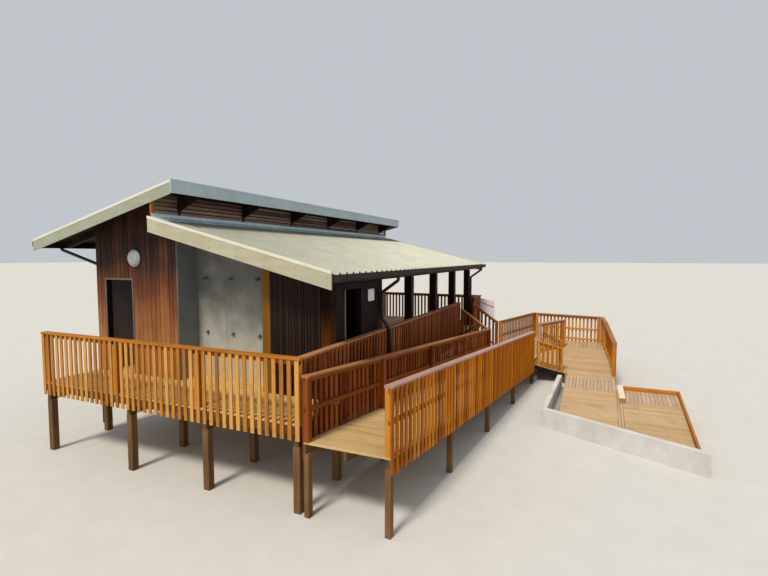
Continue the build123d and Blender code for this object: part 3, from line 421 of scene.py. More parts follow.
# %% Painted sheet metal
def painted(name, tint, dust, gloss=0.42, wave=0.0012):
    """Paint over sheet metal: dust gathers in slow clouds and fine specks."""
    made, tree, shader = new_finish(name)
    place = put(tree, "TexCoord").outputs["Object"]
    cloud = noise(tree, place, 1.6, 5.0, 0.6)
    speck = noise(tree, place, 60.0, 3.0, 0.7)
    streak = noise(tree, stretched(tree, place, (1.5, 14.0, 14.0)), 1.0, 4.0, 0.6)
    mix = sums(tree, (cloud, 0.6), (speck, 0.35), (streak, 0.5))
    mix = between(tree, mix, 0.55, 0.92)
    tint = ramp(tree, mix, [(0.0, colour(*tint)), (1.0, colour(*dust))])
    tree.links.new(tint, shader.inputs["Base Color"])
    tree.links.new(between(tree, speck, 0.3, 0.7, gloss - 0.08, gloss + 0.12),
                   shader.inputs["Roughness"])
    shader.inputs["Metallic"].default_value = 0.1
    relief(tree, shader, noise(tree, place, 3.0, 2.0, 0.4), wave)
    return made


roof_metal = painted("cream_roof_sheet", (160, 162, 148), (143, 143, 126))
barge_metal = painted("cream_barge_sheet", (190, 186, 158), (169, 164, 137))
high_barge_metal = painted("greyer_barge_sheet", (168, 173, 151), (150, 152, 131))
cap_metal = painted("cream_cap_strip", (232, 228, 212), (214, 210, 190))
ridge_metal = painted("grey_ridge_sheet", (185, 200, 205), (164, 178, 183))
flashing_metal = painted("blue_grey_flashing", (204, 231, 239), (164, 187, 195))
gutter_metal = painted("brown_gutter", (30, 10, 12), (40, 16, 17), 0.7)
pipe_metal = painted("blue_black_pipe", (24, 26, 38), (40, 43, 56), 0.35)
white_paint = painted("white_plate", (238, 234, 240), (224, 220, 226), 0.35, 0.0003)
red_paint = painted("red_stripe", (216, 84, 104), (196, 70, 90), 0.35, 0.0003)
trim_paint = painted("grey_trim", (104, 98, 94), (84, 78, 74), 0.5)
nail_metal = painted("picket_screws", (96, 84, 72), (60, 50, 42), 0.4, 0.0003)
screw_metal = painted("screw_heads", (150, 148, 142), (110, 104, 96), 0.3, 0.0003)

# %% [markdown]
# Concrete and fibre cement. Both are a fine mottle with pores; concrete also has rounded stones
# showing at its worn face, so its relief mixes noise with cells.

# %% Concrete and fibre cement
def mineral(name, pale, deep, pore=220.0, depth=0.0015, rough=0.85, overhang_shade=None):
    """Concrete or fibre cement: mottled body, darker pores, rough surface. overhang_shade, as in
    wood, is painted shade: darker high up, under an overhang.
    """
    made, tree, shader = new_finish(name)
    place = put(tree, "TexCoord").outputs["Object"]
    cloud = noise(tree, place, 1.8, 6.0, 0.6)
    grit = noise(tree, place, 90.0, 5.0, 0.7)
    cells = put(tree, "TexVoronoi", {"Vector": place, "Scale": pore}).outputs["Distance"]
    mix = sums(tree, (cloud, 0.8), (grit, 0.5), (cells, 0.3))
    # Painted shade: the tone is lowered high up, under an overhang, and raised low down.
    if overhang_shade:
        mix = sums(tree, (mix, 1.0), (painted_shade_ramp(tree, place, *overhang_shade), 1.0))
    mix = between(tree, mix, 0.55, 1.0)
    tint = ramp(tree, mix, [(0.0, colour(*deep)), (1.0, colour(*pale))])
    tree.links.new(tint, shader.inputs["Base Color"])
    tree.links.new(between(tree, grit, 0.3, 0.7, rough - 0.1, rough + 0.1),
                   shader.inputs["Roughness"])
    relief(tree, shader, sums(tree, (grit, 0.6), (cells, 0.4)), depth)
    return made


concrete = mineral("kerb_concrete", (217, 214, 211), (183, 180, 178), 160.0, 0.003)
worn_concrete = mineral("channel_concrete", (179, 171, 158), (139, 130, 120), 120.0, 0.004)
# The back sheet is painted darker high up and paler low down: painted shade of the lower roof's
# overhang.
back_panel = mineral("light_grey_panel", (178, 178, 166), (108, 110, 106), 300.0, 0.0005, 0.7,
                     overhang_shade=(2.5, 0.9, 0.22))
room_lining = mineral("room_lining", (146, 138, 140), (118, 111, 114), 300.0, 0.0005, 0.7)
# The side sheet is a darker, bluer grey than the back sheet: painted shade.
side_panel = mineral("dark_grey_panel", (128, 137, 140), (107, 114, 117), 300.0, 0.0005, 0.7)
print("mineral finishes ready")

# %% [markdown]
# Two finishes have a recipe of their own. Brushed steel has fine scratches that all run one way, so its
# noise is stretched. The light's frosted cover is milky, with faint ripples from its mould; it is
# made as a surface, because true light inside the plastic would only add noise at this size.

# %% Brushed steel and frosted plastic
def brushed_metal(name):
    """Steel of the shower fittings: duller along the scratches."""
    made, tree, shader = new_finish(name)
    place = put(tree, "TexCoord").outputs["Object"]
    brushed = noise(tree, stretched(tree, place, (300.0, 300.0, 20.0)), 1.0, 3.0, 0.5)
    tint = ramp(tree, brushed, [(0.0, colour(90, 92, 96)), (1.0, colour(170, 172, 176))])
    tree.links.new(tint, shader.inputs["Base Color"])
    tree.links.new(between(tree, brushed, 0.3, 0.7, 0.16, 0.32), shader.inputs["Roughness"])
    shader.inputs["Metallic"].default_value = 0.9
    relief(tree, shader, brushed, 0.0002)
    return made


steel = brushed_metal("brushed_steel")


def frosted(name):
    """The light's frosted cover: milky, with faint moulding ripples."""
    made, tree, shader = new_finish(name)
    place = put(tree, "TexCoord").outputs["Object"]
    cloud = noise(tree, place, 9.0, 4.0, 0.6)
    tint = ramp(tree, cloud, [(0.3, colour(143, 150, 150)), (0.75, colour(164, 171, 168))])
    tree.links.new(tint, shader.inputs["Base Color"])
    tree.links.new(between(tree, cloud, 0.3, 0.7, 0.3, 0.45), shader.inputs["Roughness"])
    relief(tree, shader, cloud, 0.0006)
    return made


cover = frosted("frosted_cover")
print("finishes", len(bpy.data.materials))

# %% [markdown]
# Floors. On the real deck each board is cut to the edge it reaches, also where that edge runs
# askew. A Boolean could trim straight boards to an outline, but it leaves untidy faces. So the
# plan polygon is crossed by the two long edges of every board, and the crossings are its four
# corners: the skewed ends come by themselves.

# %% Boards over a plan polygon
def floor_boards(corners, run, pitch, gap, thickness, level, **look):
    """Boards along run side by side over a polygon. For a long edge at distance s across the
    boards, its ends are the first and last crossing of the line s with the polygon's sides."""
    corners, run = np.asarray(corners, float), np.asarray(run, float)
    step = np.array([-run[1], run[0]])
    s, t = corners @ step, corners @ run
    s_next, t_next = np.roll(s, -1), np.roll(t, -1)
    count = max(1, round(np.ptp(s) / pitch))
    pitch = np.ptp(s) / count

    def crossing(at):
        """The first and last place along run where the line at crosses a side."""
        share = (at[:, None] - s) / np.where(np.abs(s_next - s) < 1e-9, np.nan, s_next - s)
        share = np.where((share < 0) | (share > 1), np.nan, share)
        reach = t + share * (t_next - t)
        return np.nanmin(reach, axis=1), np.nanmax(reach, axis=1)

    def place(at, reach):
        """The point under the board's face at a distance across and a reach along."""
        plan = at[:, None] * step + reach[:, None] * run
        return np.column_stack([plan, level(plan[:, 0], plan[:, 1]) - thickness])

    low = s.min() + pitch * np.arange(count) + gap / 2
    high = low + pitch - gap
    (low_from, low_to), (high_from, high_to) = crossing(low), crossing(high)
    starts, ends = place(low, low_from), place(low, low_to)
    width = pitch - gap
    return bars(starts, ends, (place(high, high_from) - starts) / width, Z,
                eased(width, thickness), end_side=(place(high, high_to) - ends) / width, **look)


def fanned_boards(near, far, pitch, gap, thickness, level, **look):
    """Boards lengthways in a band that widens: each takes the same share of the near side and
    of the far side, so its long edges fan with the band's own sides."""
    near, far = np.array(near, float), np.array(far, float)
    reach = np.linalg.norm(near[1] - near[0])
    count = round(reach / pitch)
    width = reach / count - gap
    share = (np.arange(count) / count + gap / 2 / reach)[:, None]
    starts, ends = (np.column_stack([plan, level(plan[:, 0], plan[:, 1]) - thickness])
                    for plan in (side[0] + share * (side[1] - side[0]) for side in (near, far)))
    across = [np.append(side[1] - side[0], 0.0) / reach for side in (near, far)]
    return bars(starts, ends, across[0], Z, eased(width, thickness), end_side=across[1], **look)


def level_plane(a, b, c):
    """Height of the plane through three points, above any plan point."""
    a, b, c = (np.array(p, float) for p in (a, b, c))
    n = np.cross(b - a, c - a)
    return lambda x, y: a[2] - (n[0] * (x - a[0]) + n[1] * (y - a[1])) / n[2]


# %% [markdown]
# The deck's boards run the length of the building. No timber is that long, so each row is made of
# lengths, and the joints of one row fall between those of the next.

# %% Deck floor
board = deck_high[2] - deck_low[2]
board_pitch, board_gap, end_gap = 0.145, 0.006, 0.003
deck_width, deck_length = -deck_low[0], deck_high[1]
rows = round(deck_width / board_pitch)
deck_joints = [[0.0, 4.11, 8.03, deck_length], [0.0, 2.15, 7.05, deck_length]]
deck_boards = []
for odd in (0, 1):
    for y0, y1 in spans(deck_joints[odd]):
        x = deck_low[0] + (np.arange(odd, rows, 2) / rows) * deck_width
        starts = np.column_stack([x + board_gap / 2, np.full(len(x), y0 + end_gap / 2),
                                  np.full(len(x), deck_low[2])])
        width = deck_width / rows - board_gap
        deck_boards.append(bars(starts, starts + (y1 - y0 - end_gap) * Y, X, Z, eased(width, board)))
make_piece("deck_boards", deck_boards, [deck_wood], ["deck_floor"])

# %% [markdown]
# The ways down: a ramp beside the cabin, a level landing, and a second ramp that comes back. Every
# floor is a plane through three known points, so a board's height follows from its place in plan.
# A wedge joins the landing to the second ramp and twists, so it is made of two flat triangles.

# %% First ramp, landing and second ramp
path_level, landing_level, ramp_foot_level, walk_front_level = 1.15, 0.6, 0.35, 0.25
ramp_gap, ramp_width, ramp_turn = 0.06, 1.398, np.radians(5.5)
bay, post = 1.96, 0.19
frame_near = posts_low[1]
stair_near, stair_far, stair_run = frame_near + 4 * bay + post, frame_near + 5 * bay, 0.92
ramp_shift = stair_near * np.tan(ramp_turn)
ramp_left = [(ramp_gap, 0), (ramp_gap + ramp_shift, stair_near)]
ramp_right = [(ramp_gap + ramp_width, 0), (ramp_gap + ramp_width + ramp_shift, stair_near)]
ramp_level = level_plane((0, 0, path_level), (1, 0, path_level), (0, stair_near, landing_level))
ramp_corners = [ramp_left[0], ramp_right[0], ramp_right[1], ramp_left[1]]
make_piece("ramp_boards",
           [floor_boards(ramp_corners, (1, 0), board_pitch, board_gap, board, ramp_level)],
           [deck_wood], ["ramp_floor"])

landing_start = np.array([stair_run, stair_near])
far_left, far_right = landing_start + (0.86, 5.05), landing_start + (3.41, 4.62)
divider_near, divider_far = landing_start + (1.42, 1.85), landing_start + (2.13, 3.28)
second_top = landing_start + (3.49, 3.28)
second_left, second_right = landing_start + (2.23, 0.31), landing_start + (3.68, 0.31)
landing_corners = [landing_start, ramp_right[1], divider_near, divider_far, second_top, far_right,
                   far_left, (stair_run, stair_far)]
make_piece("landing_boards",
           [floor_boards(landing_corners, (0, 1), board_pitch, board_gap, board,
                         lambda x, y: np.full(x.shape, landing_level))],
           [walk_wood], ["landing_floor"])

foot_point, head_point = (*second_left, ramp_foot_level), (*divider_near, landing_level)
wedge_near = level_plane((*ramp_right[1], landing_level), foot_point, head_point)
wedge_far = level_plane((*divider_far, landing_level), foot_point, head_point)
second_level = level_plane((*divider_far, landing_level), foot_point,
                           (*second_right, ramp_foot_level))
second_floor = [
    floor_boards([ramp_right[1], second_left, divider_near], (1, 0), board_pitch, board_gap,
                 board, wedge_near),
    floor_boards([divider_near, second_left, divider_far], (1, 0), board_pitch, board_gap, board,
                 wedge_far),
    floor_boards([divider_far, second_top, second_right, second_left], (1, 0), board_pitch,
                 board_gap, board, second_level)]
make_piece("second_ramp_boards", second_floor, [walk_wood], ["second_ramp_floor"])

# %% [markdown]
# The lower walk ends at a concrete kerb that runs askew. The kerb's inner faces and the walk's
# edges are straight lines in plan, so the walk's corners are where two lines meet, which is a
# short formula. These functions give the lines.

# %% Lines of the kerb and of the walk's edges
kerb_start, kerb_corner = second_left + (-0.093, -0.721), second_left + (-0.236, -4.118)
kerb_end = second_left + (2.751, -5.589)
kerb_width = 0.12
front_turn = (kerb_end[1] - kerb_corner[1]) / (kerb_end[0] - kerb_corner[0])
side_turn = (kerb_corner[0] - kerb_start[0]) / (kerb_corner[1] - kerb_start[1])


def kerb_front_y(x):
    """Y of the kerb's inner front line above x."""
    return kerb_corner[1] + (x - kerb_corner[0]) * front_turn + kerb_width * np.hypot(1, front_turn)


def kerb_side_x(y):
    """X of the kerb's inner side line at y."""
    return kerb_corner[0] + (y - kerb_corner[1]) * side_turn + kerb_width


def leaning(start, lean, y):
    """Where an edge from start, leaning by lean from Y, passes y."""
    return (start[0] - (start[1] - y) * lean, y)


def meets_kerb(start, lean):
    """Where that edge meets the kerb: x = foot + (y - corner y) * lean put into the front line."""
    foot = leaning(start, lean, kerb_corner[1])[0]
    y = kerb_corner[1] + (kerb_front_y(foot) - kerb_corner[1]) / (1 - lean * front_turn)
    return leaning(start, lean, y)


inner_y = kerb_front_y(kerb_corner[0] + kerb_width)
inner_corner = (kerb_side_x(inner_y), kerb_front_y(kerb_side_x(inner_y)))
print("inner corner of the kerb", inner_corner)

# %% [markdown]
# The walk has two halves side by side. In each, a band of narrower boards lies lengthways and the
# rest lie across. The halves widen towards the kerb, so the lengthways boards fan out with them.

# %% Lower walk
walk_length, walk_far, band_pitch = 4.5, second_left[1], 0.092
walk_level = level_plane((0, walk_far, ramp_foot_level), (1, walk_far, ramp_foot_level),
                         (0, walk_far - walk_length, walk_front_level))
walk_lean, side_lean = np.tan(np.radians(1.3)), np.tan(np.radians(3.2))
walk_left, side_far, side_right = second_left[0] + 0.14, walk_far - 1.35, second_left[0] + 2.84
edge_x, edge_width, edge_gap = leaning(second_right, walk_lean, side_far)[0], 0.055, 0.005
walk_far_left, walk_far_right = (walk_left, walk_far), tuple(second_right)
side_far_left = (edge_x + 2 * edge_width + 3 * edge_gap, side_far)
side_far_right = (side_right, side_far)
walk_floors = []
for left, left_lean, right, right_lean, marks in (
        (walk_far_left, 0.0, walk_far_right, walk_lean, (walk_far - 0.4, walk_far - 1.55)),
        (side_far_left, walk_lean, side_far_right, side_lean, (side_far, side_far - 1.0))):
    rows = [(leaning(left, left_lean, y), leaning(right, right_lean, y))
            for y in dict.fromkeys((left[1], *marks))]
    rows.append((meets_kerb(left, left_lean), meets_kerb(right, right_lean)))
    across = [True, False, True][-len(rows) + 1:]
    for (high, low), crosswise in zip(spans(rows), across):
        if crosswise:
            walk_floors.append(floor_boards([low[0], low[1], high[1], high[0]], (1, 0), board_pitch,
                                            board_gap, board, walk_level))
        else:
            walk_floors.append(fanned_boards(low, high, band_pitch, board_gap, board, walk_level,
                                             finish=1))
make_piece("walk_boards", walk_floors, [walk_wood, band_wood], ["lower_walk_floors"])

# %% [markdown]
# Balustrades. Each run is set out as it is built: square posts, one to three rails on one side,
# narrow pickets screwed to the other, and a flat cap. An Array modifier could repeat the pickets,
# but not share them out evenly over runs of every length. A run may fall, so its bars lean by the
# fall along the run while their ends stay upright.

# %% One run of balustrade
rail_height, cap_thickness, rail_post, rail_width, rail_depth = 1.0, 0.036, 0.09, 0.045, 0.07
picket_width, picket_pitch, picket_thickness, cap_overhang = 0.07, 0.138, 0.022, 0.01
fence_bay, edge_cap = 2.35, 0.032
foot_rail_height, cap_joint, post_ease, picket_ease = 0.06, 0.002, 0.004, 0.002
picket_screw = [(0.0045, -0.0005), (0.0045, 0.0008), (0.002, 0.0014)]
screw_places = ((0.3, 0.25), (0.7, 0.75))


def fence(start, end, floor_start, floor_end, height=rail_height, drop=0.25, pickets_right=True,
          mid_rail=True, foot_rail=False, cap_from=0.0, cap_to=0.0, lift=0.0):
    """Posts, rails, pickets and cap of a run. A point at distance d along the run and height h
    lies at start + d * along, at floor_start + fall * d + h. Finishes, in order: pickets, rails,
    posts, cap, screws."""
    start, end = np.array([*start, 0.0]), np.array([*end, 0.0])
    length = np.linalg.norm(end - start)
    fall = (floor_end - floor_start) / length
    along = (end - start) / length + fall * Z
    outward = np.cross(along * (1, 1, 0), Z) * (1 if pickets_right else -1)
    under_cap = height - cap_thickness

    def at(distance, rise):
        """Points at distances along the run, rise above its floor."""
        return start + np.multiply.outer(distance, along) + (floor_start + rise) * Z

    count = max(2, round((length - picket_width) / picket_pitch))
    d = np.arange(count + 1) * (length - picket_width) / count
    shapes = [bars(at(d, -drop), at(d, under_cap), along, outward,
                   eased(picket_width, picket_thickness, picket_ease), finish=0)]
    lows = [under_cap - rail_depth] + [(under_cap - rail_depth) / 2] * mid_rail
    lows += [foot_rail_height] * foot_rail
    for low in lows:
        for across, up in screw_places:
            heads = at(d + picket_width * across, low + rail_depth * up) + picket_thickness * outward
            shapes.append(turned(picket_screw, heads, outward, sides=6, finish=4))
    for low in lows:
        shapes.append(bars(at(0.0, low), at(length, low), -outward, Z,
                           eased(rail_width, rail_depth), finish=1))
    spaces = max(1, round(length / fence_bay))
    d = np.arange(spaces + 1) * (length - rail_post) / spaces
    shapes.append(bars(at(d, lift), at(d, under_cap), along, -outward,
                       eased(rail_post, rail_post, post_ease), finish=2))
    joints = np.linspace(-cap_from, length + cap_to, spaces // 2 + 2)
    cap = eased(rail_post + cap_overhang + edge_cap, cap_thickness, post_ease,
                (-rail_post - cap_overhang, 0))
    shapes.append(bars(at(joints[:-1], under_cap), at(joints[1:] - cap_joint, under_cap), outward,
                       Z, cap, finish=3))
    return shapes


def toward(start, end, distance):
    """The plan point at a distance from start towards end."""
    start, end = np.array(start, float), np.array(end, float)
    return start + (end - start) * distance / np.linalg.norm(end - start)


# %% [markdown]
# The deck's balustrades and the first ramp's. The runs are given different colours: some honey,
# some orange, and those along the verandah a darker red-brown under greyer caps. A slot is
# left for the near downpipe, and the stair has its own opening.

# %% Balustrades of the deck and the first ramp
flat = (deck_level, deck_level)
corner = rail_post + cap_overhang
red_run = [red_wood, red_wood, red_wood, weathered_wood, nail_metal]
ends = fence((deck_low[0], 0), (0, 0), *flat, mid_rail=False, cap_to=edge_cap)
ends += fence((0, deck_length), (deck_low[0], deck_length), *flat, mid_rail=False,
              cap_from=edge_cap)
make_piece("end_balustrade_boards", ends,
           [honey_wood, red_wood, honey_wood, honey_wood, nail_metal], ["end_balustrades"])

near_pipe_y = frame_near + bay + post / 2
pipe_slot = 0.1
sides = []
for y0, y1 in ((corner, near_pipe_y - pipe_slot / 2), (near_pipe_y + pipe_slot / 2, stair_near),
               (stair_far + post, deck_length - corner)):
    sides += fence((0, y0), (0, y1), *flat)
make_piece("side_balustrade_boards", sides, red_run, ["side_balustrades"])

ramp_run = np.hypot(ramp_shift, stair_near)
ramp_trim, slope_gap = 0.04, 0.00095
ramp_end_level = path_level - (path_level - landing_level) * (ramp_run - ramp_trim) / ramp_run
ramp_levels = (path_level, ramp_end_level)
make_piece("ramp_inner_boards",
           fence(ramp_left[0], toward(*ramp_left, ramp_run - ramp_trim), *ramp_levels,
                 pickets_right=False, lift=slope_gap),
           red_run, ["ramp_inner_balustrade"])
make_piece("ramp_outer_boards",
           fence(ramp_right[0], toward(*ramp_right, ramp_run - ramp_trim), *ramp_levels,
                 lift=slope_gap),
           [orange_wood, honey_wood, honey_wood, new_wood, nail_metal], ["ramp_outer_balustrade"])

# %% [markdown]
# Short runs below the deck. The stair's rails fall steeply beside it, and the landing is fenced on
# its two outer sides. A divider with a sloping brace stands where the ramps meet.

# %% Balustrades of the stair and the landing
riser, going, stair_setback = (deck_level - landing_level) / 5, 0.23, 0.035
stair_top = deck_level - riser - riser * stair_setback / going
stair = []
for y, right in ((stair_near, True), (stair_far, False)):
    stair += fence((stair_setback, y), (stair_run, y), stair_top, landing_level, drop=0.0,
                   mid_rail=False, foot_rail=True, pickets_right=right)
make_piece("stair_balustrade_boards", stair, red_run, ["stair_balustrades"])

level = (landing_level, landing_level)
stair_corner = (stair_run, stair_far)
landing = fence(toward(stair_corner, far_left, corner), far_left, *level, pickets_right=False)
landing += fence(toward(far_left, far_right, corner), toward(far_right, far_left, corner), *level,
                 pickets_right=False, foot_rail=True)
make_piece("landing_balustrade_boards", landing,
           [honey_wood, honey_wood, honey_wood, weathered_wood, nail_metal],
           ["landing_balustrades"])

brace_width, brace_rise, rail_lift = 0.06, 0.72, 0.06
divider = fence(divider_near, divider_far, *level, drop=0.0, mid_rail=False, foot_rail=True)
divider_length = np.linalg.norm(divider_far - divider_near)
along = np.array([*(divider_far - divider_near) / divider_length, 0.0])
outward = np.cross(along, Z)
brace_foot = np.array([*divider_near, landing_level]) + picket_thickness * outward
brace_from = brace_foot + rail_post * along + (brace_rise - brace_width) * Z
brace_to = brace_foot + (divider_length - rail_post) * along + rail_lift * Z
divider.append(bars(brace_from, brace_to, outward, Z, eased(picket_thickness, brace_width),
                    finish=1))
make_piece("divider_balustrade_boards", divider,
           [honey_wood, honey_wood, new_wood, new_wood, nail_metal], ["divider_balustrade"])

# %% [markdown]
# The wedge's balustrade is lower than the others, because it runs into the second ramp below the
# landing's rail, and one tall post ends it. The last runs follow the second ramp down. On a slope
# a post's foot is lifted by the fall across its own width, so that no corner of it sinks in.

# %% Balustrades of the wedge and the second ramp
wedge_height, tall_post_foot = 0.73, 0.365
wedge_start = toward(ramp_right[1], second_left, corner)
wedge_run = np.linalg.norm(second_left - ramp_right[1])
wedge_fall = landing_level - ramp_foot_level
wedge_turn = (second_left[1] - stair_near) / wedge_run
wedge_lift = rail_post * wedge_turn * wedge_fall / (second_left[0] - ramp_right[1][0])
wedge = fence(wedge_start, second_left, landing_level - wedge_fall * corner / wedge_run,
              ramp_foot_level, wedge_height, drop=board, mid_rail=False, foot_rail=True,
              lift=wedge_lift + 2 * slope_gap)
along = np.array([*(second_left - ramp_right[1]) / wedge_run, 0.0])
tall_foot = np.array([*second_left, ramp_foot_level + tall_post_foot]) - rail_post * along
wedge.append(bars(tall_foot, tall_foot + (rail_height - tall_post_foot) * Z, along,
                  -np.cross(along, Z), eased(rail_post, rail_post, post_ease), finish=2))
make_piece("wedge_balustrade_boards", wedge,
           [honey_wood, orange_wood, honey_wood, orange_wood, nail_metal], ["wedge_balustrade"])

second = fence(far_right, second_top, *level, pickets_right=False, mid_rail=False, foot_rail=True)
second += fence(second_top, second_right, landing_level, ramp_foot_level, pickets_right=False,
                mid_rail=False, foot_rail=True)
make_piece("second_ramp_balustrade_boards", second,
           [orange_wood, honey_wood, honey_wood, weathered_wood, nail_metal],
           ["second_ramp_balustrade"])

# %% [markdown]
# The walls reach up to the roofs, so the two roof planes come first. Both fall 14 degrees, away
# from each other: the upper one to the left of the ridge, the lower one to the right.

# %% Lines of the roofs, the walls and the doorways
roof_angle, barge_thickness = np.radians(14), 0.032
lower_slope = upper_slope = np.tan(roof_angle)
lower_top_x, lower_top = sheet_low[0], sheet_high[2]
ridge_x, ridge_top = upper_high[0] + barge_thickness, upper_high[2] + barge_thickness * upper_slope
sheet_rise, lining = 0.038 / np.cos(roof_angle), 0.018
roof_drop, rafter_depth, wall = sheet_rise + lining, 0.14, 0.12
left_face, right_face = spot("left_wall")[0][0], posts_high[0]
main_wall_x = spot("main_side_wall")[1][0]
room_x, frame_far = main_wall_x - wall, posts_high[1]
bay_post_low, bay_post_high = spot("shower_bay_post")
shower_back_y, beam_foot = spot("shower_back_wall")[0][1], posts_high[2]
door_x0 = left_face + 0.274
door_x1, door_head = door_x0 + 0.865, deck_level + 2.03
side_door_y0 = frame_near + 0.5
side_door_y1, side_door_head = side_door_y0 + 0.7, beam_foot - 0.068


def lower_roof(x):
    """Height of the lower roof's top face above x."""
    return lower_top - (x - lower_top_x) * lower_slope


def upper_roof(x):
    """Height of the upper roof's top face above x."""
    return ridge_top - (ridge_x - x) * upper_slope


def upper_head(x):
    """Head of a wall under the upper roof at x."""
    return upper_roof(x) - roof_drop


def lower_head(x):
    """Head of a wall under the lower roof at x."""
    return lower_roof(x) - roof_drop


print("doorway", door_x0, "to", door_x1, "side doorway", side_door_y0, "to", side_door_y1)

# %% [markdown]
# Walls. A wall here is a core with upright boards outside and, in the long room, a sheet lining
# inside. The boards could be lines in a bump pattern, but narrow boards with a shadow gap between
# them are what makes the fine dark lines of real cladding, so the gaps are real. The core behind
# them has a dark finish, which is painted shade in the gaps.

# %% One wall with upright boards
board_thickness, board_ease = 0.02, 0.0015
gable_pitch, gable_gap, fine_pitch, fine_gap = 0.122, 0.008, 0.0675, 0.009


def clad_wall(start, end, foot, tops, pitch, gap, thickness=wall, cladding=0, inside=None):
    """A wall from start to end in plan, with its outside on the right, tops high at its two
    ends. Board i starts at distance i * pitch along it, and its head follows the line between
    the tops. inside is the finish of a sheet lining, half a board thick, on the room's side."""
    start, end = np.array([*start, 0.0]), np.array([*end, 0.0])
    length = np.linalg.norm(end - start)
    along = (end - start) / length
    outward = np.cross(along, Z)
    rise = (tops[1] - tops[0]) / length
    count = max(1, round(length / pitch))
    pitch = length / count
    d = np.arange(count) * pitch
    base = start + d[:, None] * along
    boards = bars(base + foot * Z, base + (tops[0] + rise * d)[:, None] * Z, along, -outward,
                  eased(pitch - gap, board_thickness, board_ease), end_side=along + rise * Z,
                  finish=cladding)
    lining_face = thickness - (0 if inside is None else board_thickness / 2)
    # The core (finish 1) takes a dark finish: painted shade in the gaps between the boards.
    layers = [(board_thickness, lining_face, 1 if thickness > board_thickness else None),
              (lining_face, thickness, inside)]
    return [boards] + [bars(start + foot * Z, start + tops[0] * Z, along, -outward,
                            [(0, near), (length, near), (length, far), (0, far)],
                            end_side=along + rise * Z, finish=made)
                       for near, far, made in layers if made is not None]


# %% [markdown]
# The gables and the left wall have broad reddish boards, painted darker high up where the overhang
# shades them: painted shade.
# The near gable goes on past the shower bay with the fine dark boards of the side room. A wall
# with a doorway is built beside and over it, as a real one is framed.

# %% Gables, left wall and the pieces over the doorways
gable = []
for x0, x1 in ((left_face, door_x0), (door_x1, room_x)):
    gable += clad_wall((x0, frame_near), (x1, frame_near), deck_level,
                       (upper_head(x0), upper_head(x1)), gable_pitch, gable_gap, inside=3)
x0, x1 = bay_post_high[0], posts_low[0]
gable += clad_wall((x0, frame_near), (x1, frame_near), deck_level, (lower_head(x0), lower_head(x1)),
                   fine_pitch, fine_gap, cladding=2)
make_piece("near_gable_boards", gable, [wall_wood, beam_wood, dark_wood, room_lining],
           ["near_gable_walls"])

far_gable = clad_wall((room_x, frame_far), (left_face, frame_far), deck_level,
                      (upper_head(room_x), upper_head(left_face)), gable_pitch, gable_gap,
                      inside=2)
make_piece("far_gable_boards", far_gable, [wall_wood, beam_wood, room_lining], ["far_gable_wall"])

left_top = upper_roof(left_face) - roof_drop - rafter_depth
left = clad_wall((left_face, frame_far - wall), (left_face, frame_near + wall), deck_level,
                 (left_top, left_top), gable_pitch, gable_gap, inside=2)
make_piece("left_wall_boards", left, [wall_wood, beam_wood, room_lining], ["left_wall"])

heads = clad_wall((door_x0, frame_near), (door_x1, frame_near), door_head,
                  (upper_head(door_x0), upper_head(door_x1)), gable_pitch, gable_gap)
heads += clad_wall((right_face, side_door_y0), (right_face, side_door_y1), side_door_head,
                   (beam_foot, beam_foot), fine_pitch, fine_gap, cladding=2)
make_piece("door_head_boards", heads, [wall_wood, beam_wood, dark_wood], ["door_heads"])

# %% [markdown]
# Dark fine boards cover the walls under the lower roof. The long room's own side wall is taller
# than the lower roof: above it there is only a sloping top, hidden by the flashing. Its near end
# shows beside the shower trim, so a thin strip of gable boards covers it.

# %% Walls under the lower roof
main_top = spot("main_side_wall")[1][2]
main_low_top = min(main_top, lower_head(main_wall_x))
main_side = clad_wall((main_wall_x, frame_near + board_thickness), (main_wall_x, frame_far),
                      deck_level, (main_low_top, main_low_top), fine_pitch, fine_gap, inside=2)
main_side += clad_wall((room_x, frame_near), (main_wall_x, frame_near), deck_level,
                       (main_low_top, main_low_top), gable_pitch, gable_gap, board_thickness,
                       cladding=3)
main_side.append(along_ridge([(room_x, main_low_top), (main_wall_x, main_low_top),
                              (lower_top_x, main_top), (room_x, main_top)], frame_near, frame_far,
                             finish=1))
make_piece("main_side_boards", main_side, [dark_wood, beam_wood, room_lining, wall_wood],
           ["main_side_wall"])

side = []
for y0, y1 in ((frame_near + post, side_door_y0), (side_door_y1, frame_near + bay)):
    side += clad_wall((right_face, y0), (right_face, y1), deck_level, (beam_foot, beam_foot),
                      fine_pitch, fine_gap)
make_piece("side_wall_boards", side, [side_wood, beam_wood], ["side_walls"])

room_far = frame_near + bay + wall
far_room = clad_wall((posts_low[0], room_far), (main_wall_x, room_far), deck_level,
                     (lower_head(posts_low[0]), lower_head(main_wall_x)), fine_pitch, fine_gap)
make_piece("side_room_far_boards", far_room, [dark_wood, beam_wood], ["side_room_far_wall"])

cheek_x, bay_post_depth = bay_post_high[0], 0.178
cheek_top = lower_head(cheek_x) - rafter_depth
cheek = clad_wall((cheek_x - wall, shower_back_y + wall),
                  (cheek_x - wall, frame_near + bay_post_depth), deck_level,
                  (cheek_top, cheek_top), gable_pitch, gable_gap)
make_piece("shower_cheek_boards", cheek, [dark_wood, beam_wood], ["shower_cheek"])

# %% [markdown]
# Six square posts carry the eave beam, and one stands at the shower bay. Their edges are eased in
# the section itself; a Bevel modifier would give the same edge with more faces. The two posts
# beside the side doorway are a warmer brown, painted paler low down and darker high up, where
# the overhang shades them: painted shade.

